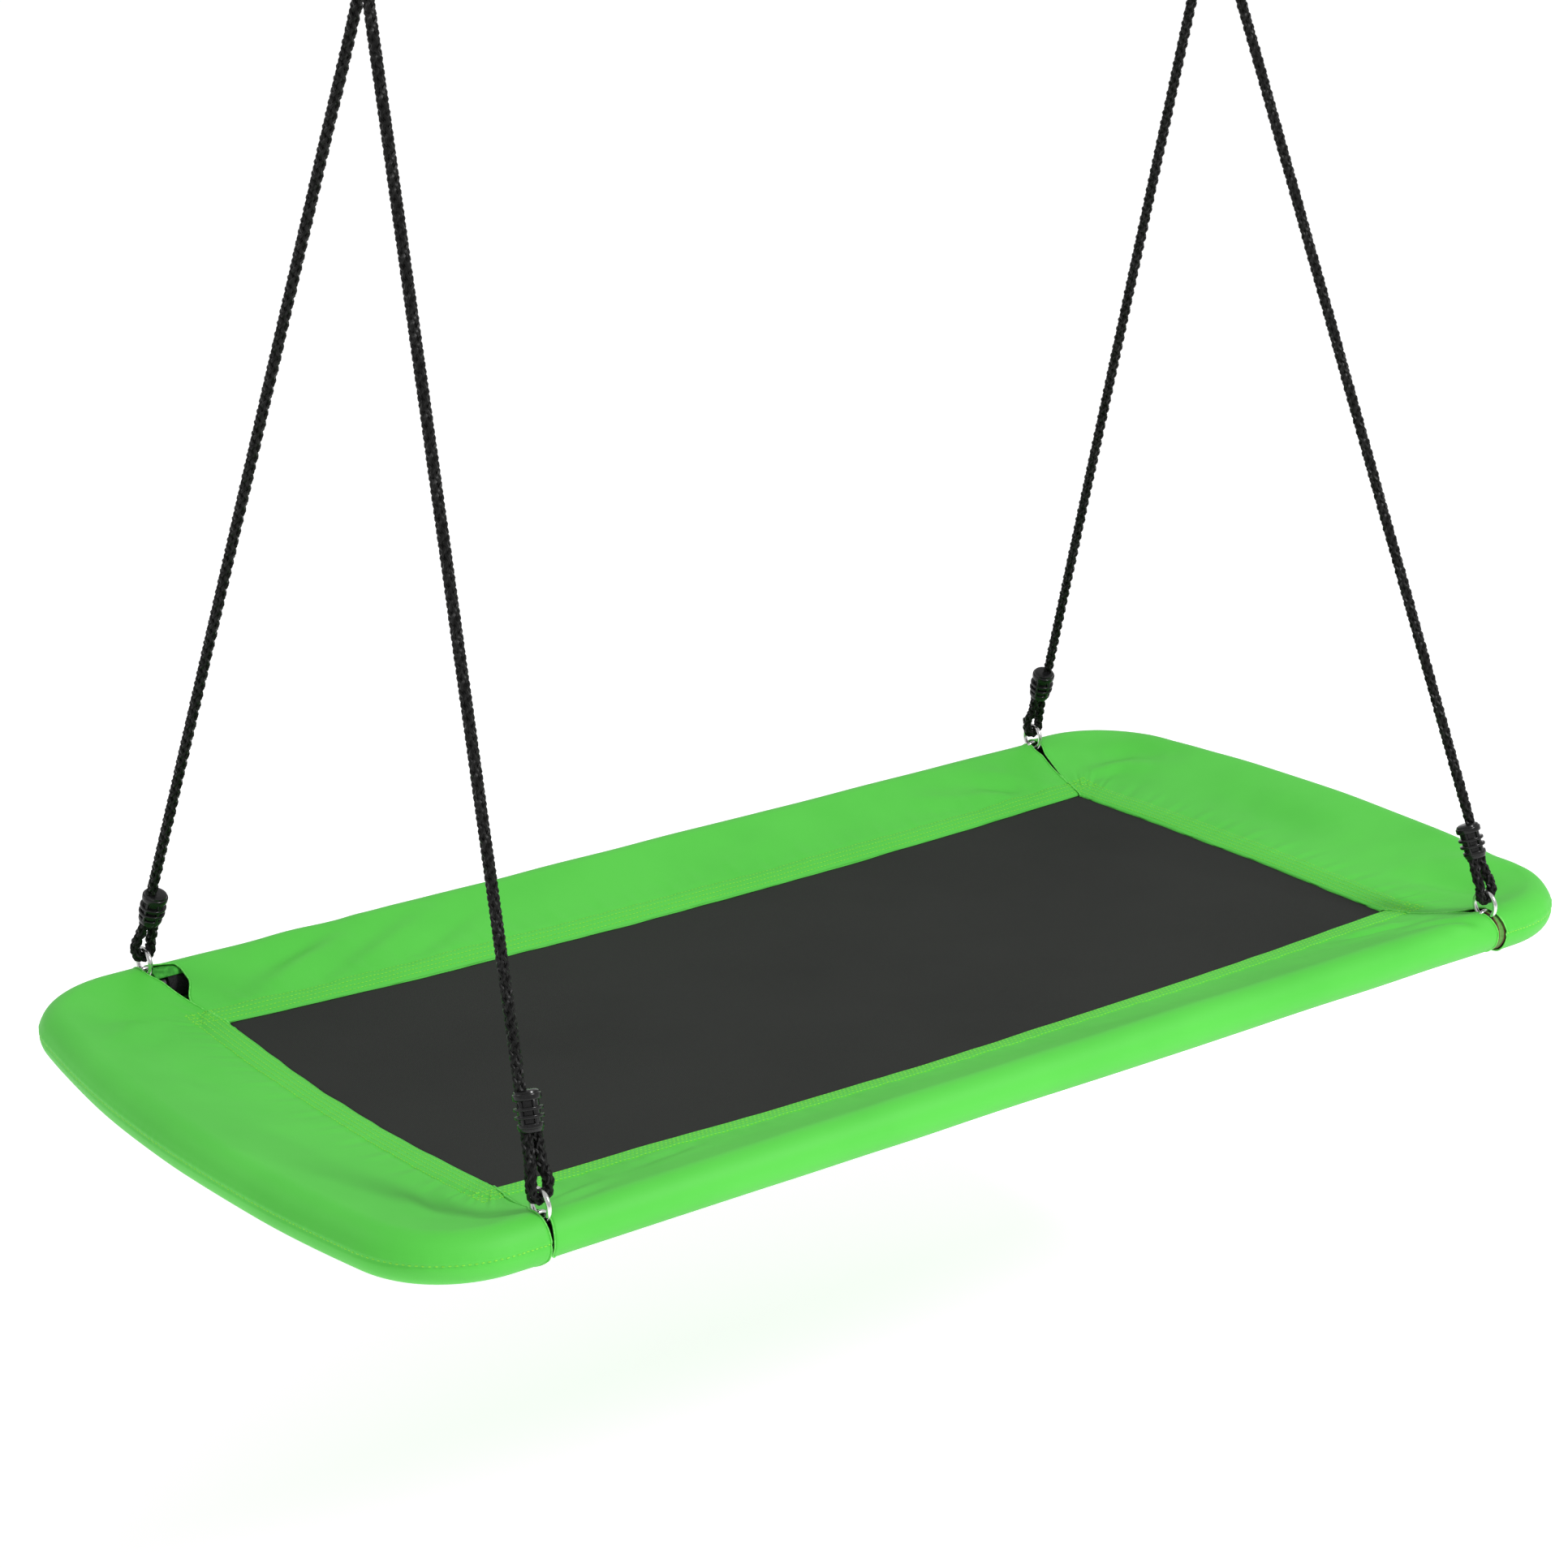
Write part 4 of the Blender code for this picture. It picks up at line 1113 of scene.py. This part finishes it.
shape.free()
for piece in (band, lining):
    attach(piece, "platform")

# %% [markdown]
# ## Carabiners, gates and collars
# They close the loop at the top. The carabiner is a bent bar: one swept line, slotted at its lower
# end for the gate's flat tongue. The gate is a straight bar with two cheeks cut off its foot, and it
# turns on a small pin. The collar that ties the rope's eye is a moulded oval with soft rims.

# %% Bend the carabiners
hook_low, hook_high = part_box("carabiner_right")
HOOK_BAR = (hook_high.x - hook_low.x) / 2
HOOK_TOP_R = 0.0200
HOOK_FOOT_R = 0.0120
HOOK_NECK = 0.0090
HINGE_DROP = 0.0035
TONGUE_SLOT = (0.0036, 0.0135, 0.0171)
CHEEK = (0.0080, 0.0200, 0.0200)
CHEEK_X = 0.0055
CHEEK_DROP = 0.0033
GATE_R = 0.0040
GATE_FOOT = 0.0026
GATE_GAP = 0.0016
PIN_R = 0.0011
HOOK_HOLE_R = 0.0014
GATE_HOLE_R = 0.0017
hook_foot_z = hook_low.z + HOOK_BAR
hook_top_z = hook_high.z - HOOK_BAR


def bend(middle, radius, start, end, steps=16):
    angles = [radians(start + (end - start) * i / steps) for i in range(steps + 1)]
    return [Vector((middle[0], middle[1] + radius * cos(a), middle[2] + radius * sin(a))) for a in angles]


def cross_bar(name, middle, radius, half, roundness=4):
    """A round bar along X."""
    reach = Vector((half, 0, 0))
    return swept(name, [[middle - reach, middle + reach]], [radius], roundness=roundness)


for side in SIDES:
    x = SIDES[side] * HANG_X
    head = bend((x, HOOK_TOP_R - HOOK_FOOT_R, hook_top_z - HOOK_TOP_R), HOOK_TOP_R, 176, 0, 24)
    heel = bend((x, 0, hook_foot_z + HOOK_FOOT_R), HOOK_FOOT_R, 0, -180, 20)
    neck = heel[-1] + UP * HOOK_NECK
    hook = swept(f"snap_hook_{side}", [head + heel + [neck]], [HOOK_BAR], roundness=8)
    pin_at = neck - UP * HINGE_DROP
    cut_by(hook, soft_block("slot", neck, TONGUE_SLOT, 0))
    cut_by(hook, cross_bar("pin_hole", pin_at, HOOK_HOLE_R, 0.01))
    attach(hook, "hangers")
    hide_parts(f"carabiner_{side}")
    tip = head[0] - UP * GATE_GAP
    gate = swept(f"snap_gate_{side}", [[pin_at - UP * GATE_FOOT, tip]], [GATE_R], roundness=8)
    for cheek in (-1, 1):
        middle = pin_at + Vector((cheek * CHEEK_X, 0, -CHEEK_DROP))
        cut_by(gate, soft_block("cheek", middle, CHEEK, 0))
    cut_by(gate, cross_bar("pin_hole", pin_at, GATE_HOLE_R, 0.01))
    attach(gate, f"{side}_gate")
    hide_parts(f"gate_{side}")
    low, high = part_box(f"gate_pin_{side}")
    middle = Vector(((low.x + high.x) / 2, pin_at.y, pin_at.z))
    pin = cross_bar(f"hinge_pin_{side}", middle, PIN_R, (high.x - low.x) / 2, roundness=3)
    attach(pin, "hangers")
    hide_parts(f"gate_pin_{side}")
    steel += [hook, gate, pin]

# %% Mould the rope collars
OVAL_SHARPNESS = 12
COLLAR_LEVELS = [(-0.5, 0.90), (-0.45, 1), (-0.30, 1), (-0.26, 0.955), (0.26, 0.955), (0.30, 1), (0.45, 1),
                 (0.5, 0.90)]

collars = []
for side in SIDES:
    low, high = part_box(f"rope_collar_{side}")
    middle = (low + high) / 2
    shape = bmesh.new()
    tall = high.z - low.z
    wide, long = high.x - low.x, high.y - low.y
    loops = []
    for level, size in COLLAR_LEVELS:
        made = bmesh.ops.create_circle(shape, segments=40, radius=0.5)
        flat = (long - wide) / 2
        for vert in made["verts"]:
            half = Vector((vert.co.x * wide * size, vert.co.y * wide * size, 0))
            half.y += flat * max(-1, min(1, vert.co.y * OVAL_SHARPNESS))
            vert.co = half + middle + UP * level * tall
        loops.append(list({edge for vert in made["verts"] for edge in vert.link_edges}))
    for near, far in zip(loops, loops[1:]):
        bmesh.ops.bridge_loops(shape, edges=near + far)
    bmesh.ops.holes_fill(shape, edges=[e for e in shape.edges if e.is_boundary])
    bmesh.ops.recalc_face_normals(shape, faces=shape.faces)
    collar = finish_piece(f"eye_collar_{side}", shape)
    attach(collar, f"{side}_bridle")
    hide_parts(f"rope_collar_{side}")
    collars.append(collar)

# %% [markdown]
# ## Finishes
# A finish is a Principled shader whose fixed numbers are set on its own sockets. What varies over the
# surface comes through nodes: a weave, a grain or a slow change of colour. `finish` builds the
# shader, and small helpers add a bump or a blend of two colours. Most finishes here need just one
# fine noise for both, which is what `mottled` does, so each of them reads as a recipe.

# %% Build a shader
def finish(name, color, roughness, metallic=0.0, **sockets):
    material = bpy.data.materials.new(name)
    material.use_nodes = True
    shader = material.node_tree.nodes["Principled BSDF"]
    shader.inputs["Base Color"].default_value = (*color, 1)
    shader.inputs["Roughness"].default_value = roughness
    shader.inputs["Metallic"].default_value = metallic
    for socket, value in sockets.items():
        shader.inputs[socket.replace("_", " ")].default_value = value
    return material, material.node_tree, shader


def add(tree, kind, **values):
    node = tree.nodes.new(kind)
    for key, value in values.items():
        if key in node.inputs:
            node.inputs[key].default_value = value
        else:
            setattr(node, key, value)
    return node


def place_of(tree, cloth=False, scale=(1, 1, 1)):
    if cloth:
        start = add(tree, "ShaderNodeUVMap", uv_map="cloth").outputs["UV"]
    else:
        start = add(tree, "ShaderNodeTexCoord").outputs["Object"]
    mapping = add(tree, "ShaderNodeMapping", Scale=scale)
    tree.links.new(start, mapping.inputs["Vector"])
    return mapping.outputs["Vector"]


def noisy(tree, where, scale, detail):
    node = add(tree, "ShaderNodeTexNoise", Scale=scale, Detail=detail)
    tree.links.new(where, node.inputs["Vector"])
    return node.outputs["Fac"]


def blend_colors(tree, factor, first, second, low=0.35, high=0.65):
    ramp = add(tree, "ShaderNodeValToRGB")
    ramp.color_ramp.elements[0].position = low
    ramp.color_ramp.elements[0].color = (*first, 1)
    ramp.color_ramp.elements[1].position = high
    ramp.color_ramp.elements[1].color = (*second, 1)
    tree.links.new(factor, ramp.inputs["Fac"])
    return ramp.outputs["Color"]


def bump_from(tree, shader, height, strength, depth):
    node = add(tree, "ShaderNodeBump", Strength=strength, Distance=depth)
    tree.links.new(height, node.inputs["Height"])
    tree.links.new(node.outputs["Normal"], shader.inputs["Normal"])


def mottled(name, color, roughness, grain, tones, height=None, stretch=(1, 1, 1), **sockets):
    """A finish whose two tones, and height if any, follow one noise of a (scale, detail)."""
    material, tree, shader = finish(name, color, roughness, **sockets)
    spots = noisy(tree, place_of(tree, scale=stretch), *grain)
    tree.links.new(blend_colors(tree, spots, *tones), shader.inputs["Base Color"])
    if height:
        bump_from(tree, shader, spots, *height)
    return material


def math_node(tree, operation, first, second):
    node = add(tree, "ShaderNodeMath", operation=operation)
    for socket, value in zip(node.inputs, (first, second)):
        if isinstance(value, (int, float)):
            socket.default_value = value
        else:
            tree.links.new(value, socket)
    return node.outputs["Value"]


def waves(tree, where, scale, direction):
    node = add(tree, "ShaderNodeTexWave", wave_type="BANDS", bands_direction=direction, Scale=scale)
    tree.links.new(where, node.inputs["Vector"])
    return node.outputs["Fac"]


# %% [markdown]
# ## Coated cloth, thread, mat and band
# The sleeves are a green polyester with a satin coat. Its plain weave is two sets of fine waves that
# cross on the cloth map, and a slow noise shifts the green a little, as handling does. The mat is a
# much coarser black weave. The wave texture repeats every 2 pi / (20 x scale) metres, so a weave's
# scale is worked out from its pitch.

# %% Cloth finishes
GREEN = (0.092, 0.570, 0.062)
GREEN_DEEP = (0.072, 0.500, 0.048)


def cloth_finish(name, first, second, pitch, depth, roughness, **sockets):
    material, tree, shader = finish(name, first, roughness, **sockets)
    where = place_of(tree)
    patches = noisy(tree, where, 5.0, 4.0)
    color = blend_colors(tree, patches, first, second, 0.42, 0.80)
    tree.links.new(color, shader.inputs["Base Color"])
    weave_at = place_of(tree, cloth=True)
    scale = 2 * pi / (20 * pitch)
    warp = waves(tree, weave_at, scale, "X")
    weft = waves(tree, weave_at, scale, "Y")
    woven = math_node(tree, "MULTIPLY", warp, weft)
    slubs = noisy(tree, weave_at, 260.0, 2.0)
    height = math_node(tree, "ADD", woven, math_node(tree, "MULTIPLY", slubs, 0.5))
    bump_from(tree, shader, height, 0.5, depth)
    return material


sleeve_cloth = cloth_finish("green_cloth", GREEN, GREEN_DEEP, 0.0009, 0.00012, 0.52,
                            Specular_IOR_Level=0.25)
mat_cloth = cloth_finish("mat_weave", (0.0205, 0.0220, 0.0198), (0.0165, 0.0178, 0.0160), 0.0016,
                         0.0003, 0.8, Specular_IOR_Level=0.2)
# The rims are the sleeves' green, mottled towards a paler green that is a painted highlight on the rolled
# edge.
RIM_HIGHLIGHT = (0.17, 0.70, 0.12)
rim_highlight_cloth = mottled("green_rim_highlight", RIM_HIGHLIGHT, 0.5, (300.0, 2.0), (GREEN, RIM_HIGHLIGHT), (0.3, 0.0002),
                    Specular_IOR_Level=0.3)
# The lining is the sleeves' green cloth darkened as painted shade inside the gaping mouth.
lining_painted_shade = mottled("lining_painted_shade", (0.05, 0.36, 0.04), 0.7, (220.0, 3.0),
                       ((0.032, 0.26, 0.026), (0.060, 0.42, 0.046)), (0.5, 0.0008), Specular_IOR_Level=0.2)
thread = mottled("bright_thread", (0.20, 0.66, 0.05), 0.6, (900.0, 1.0),
                 ((0.16, 0.61, 0.045), (0.26, 0.72, 0.06)), Specular_IOR_Level=0.3)
band_cloth = mottled("olive_liner", (0.12, 0.30, 0.07), 0.7, (400.0, 2.0),
                     ((0.085, 0.24, 0.045), (0.125, 0.31, 0.065)), (0.4, 0.0002), Specular_IOR_Level=0.2)
# Brown painted shadow for the band's ends, where the sleeves' mouths shade it.
band_painted_shadow = mottled("brown_painted_shadow", (0.10, 0.045, 0.02), 0.6, (500.0, 2.0),
                     ((0.07, 0.030, 0.012), (0.15, 0.07, 0.03)))

# %% [markdown]
# ## Rope, plastic, steel, paint and foam
# Poly rope is dark and a little waxy, with fine fibres along each strand. The moulded parts are
# smoother. Zinc plate is bright with faint cloudy changes in its polish, which roughness shows best.

# %% Rope and hard finishes
rope_yarn = mottled("black_rope_yarn", (0.005, 0.005, 0.0045), 0.36, (1400.0, 2.0),
                    ((0.003, 0.003, 0.003), (0.009, 0.009, 0.0085)), (0.6, 0.0003), (1, 1, 0.25),
                    Specular_IOR_Level=0.15)
plastic = mottled("moulded_black", (0.007, 0.007, 0.007), 0.22, (700.0, 2.0),
                  ((0.005, 0.005, 0.005), (0.010, 0.010, 0.0105)), (0.15, 0.0001), Specular_IOR_Level=0.3)
paint = mottled("black_powder_coat", (0.008, 0.008, 0.008), 0.42, (900.0, 2.0),
                ((0.006, 0.006, 0.006), (0.011, 0.011, 0.011)), (0.2, 0.0001), Specular_IOR_Level=0.3)

zinc, tree, shader = finish("zinc_plate", (0.74, 0.74, 0.73), 0.2, 1.0)
cloud = noisy(tree, place_of(tree), 120.0, 4.0)
polish = add(tree, "ShaderNodeMapRange", **{"To Min": 0.10, "To Max": 0.34})
tree.links.new(cloud, polish.inputs["Value"])
tree.links.new(polish.outputs["Result"], shader.inputs["Roughness"])
tree.links.new(blend_colors(tree, cloud, (0.66, 0.66, 0.64), (0.82, 0.82, 0.82)), shader.inputs["Base Color"])

foam_skin, tree, shader = finish("grey_foam", (0.012, 0.012, 0.0125), 0.9, Specular_IOR_Level=0.2)
cells = add(tree, "ShaderNodeTexVoronoi", Scale=700.0)
tree.links.new(place_of(tree), cells.inputs["Vector"])
spots = blend_colors(tree, cells.outputs["Distance"], (0.006, 0.006, 0.0065), (0.020, 0.020, 0.021), 0.1, 0.6)
tree.links.new(spots, shader.inputs["Base Color"])
bump_from(tree, shader, cells.outputs["Distance"], 0.5, 0.0004)

# %% Put the finishes on
def paint_all(pieces, material):
    for piece in pieces:
        piece.data.materials.clear()
        piece.data.materials.append(material)


paint_all(covers.values(), sleeve_cloth)
paint_all(edges_rolled, rim_highlight_cloth)
paint_all([lining], lining_painted_shade)
paint_all(threads, thread)
paint_all([mat], mat_cloth)
paint_all([piece for group in ropes.values() for piece in group], rope_yarn)
paint_all(adjusters + collars, plastic)
paint_all(steel, zinc)
paint_all(tubes, paint)
paint_all(foams, foam_skin)
paint_all([band], band_cloth)
# The faces near the band's two ends take the brown painted shadow, and its middle stays olive.
band.data.materials.append(band_painted_shadow)
for face in band.data.polygons:
    face.material_index = int(abs(face.center.x - BAND_MIDDLE) > BAND_UNSHADED_HALF)
print("CAD nodes still shown:", [node.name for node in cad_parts.values() if not node.hide_render])

# %% [markdown]
# ## Floor and light
# A studio floor is only there to catch a soft shadow. It stands well below the platform, as the
# ground would. A bright, even world fills the shadows, and two large panels shape the rolls.

# %% Stage and lights
FLOOR_DROP = 0.60
shape = bmesh.new()
bmesh.ops.create_grid(shape, x_segments=1, y_segments=1, size=30)
bmesh.ops.translate(shape, verts=shape.verts, vec=(0, 0, MID_Z - FLOOR_DROP))
floor = finish_piece("floor", shape)
floor_paint, _, _ = finish("pale_floor", (0.90, 0.90, 0.90), 0.9, Emission_Color=(1, 1, 1, 1),
                           Emission_Strength=0.48)
floor.data.materials.append(floor_paint)

world = bpy.data.worlds.new("studio")
world.use_nodes = True
sky = world.node_tree.nodes["Background"].inputs
sky["Color"].default_value = (1, 1, 1, 1)
sky["Strength"].default_value = 0.6
bpy.context.scene.world = world
bpy.context.scene.view_settings.view_transform = "Standard"


def panel(name, place, size, power):
    """A round lamp that faces the middle of the platform."""
    aim = Vector((0, 0, MID_Z))
    light = bpy.data.lights.new(name, "AREA")
    light.shape = "DISK"
    light.size = size
    light.energy = power
    lamp = bpy.data.objects.new(name, light)
    turn = (aim - Vector(place)).to_track_quat("-Z", "Y").to_matrix().to_4x4()
    lamp.matrix_world = Matrix.Translation(place) @ turn
    bpy.context.scene.collection.objects.link(lamp)


panel("key", (0.9, -3.0, 1.6), 1.0, 108)
panel("rim", (-2.2, 1.6, 1.0), 1.2, 14)
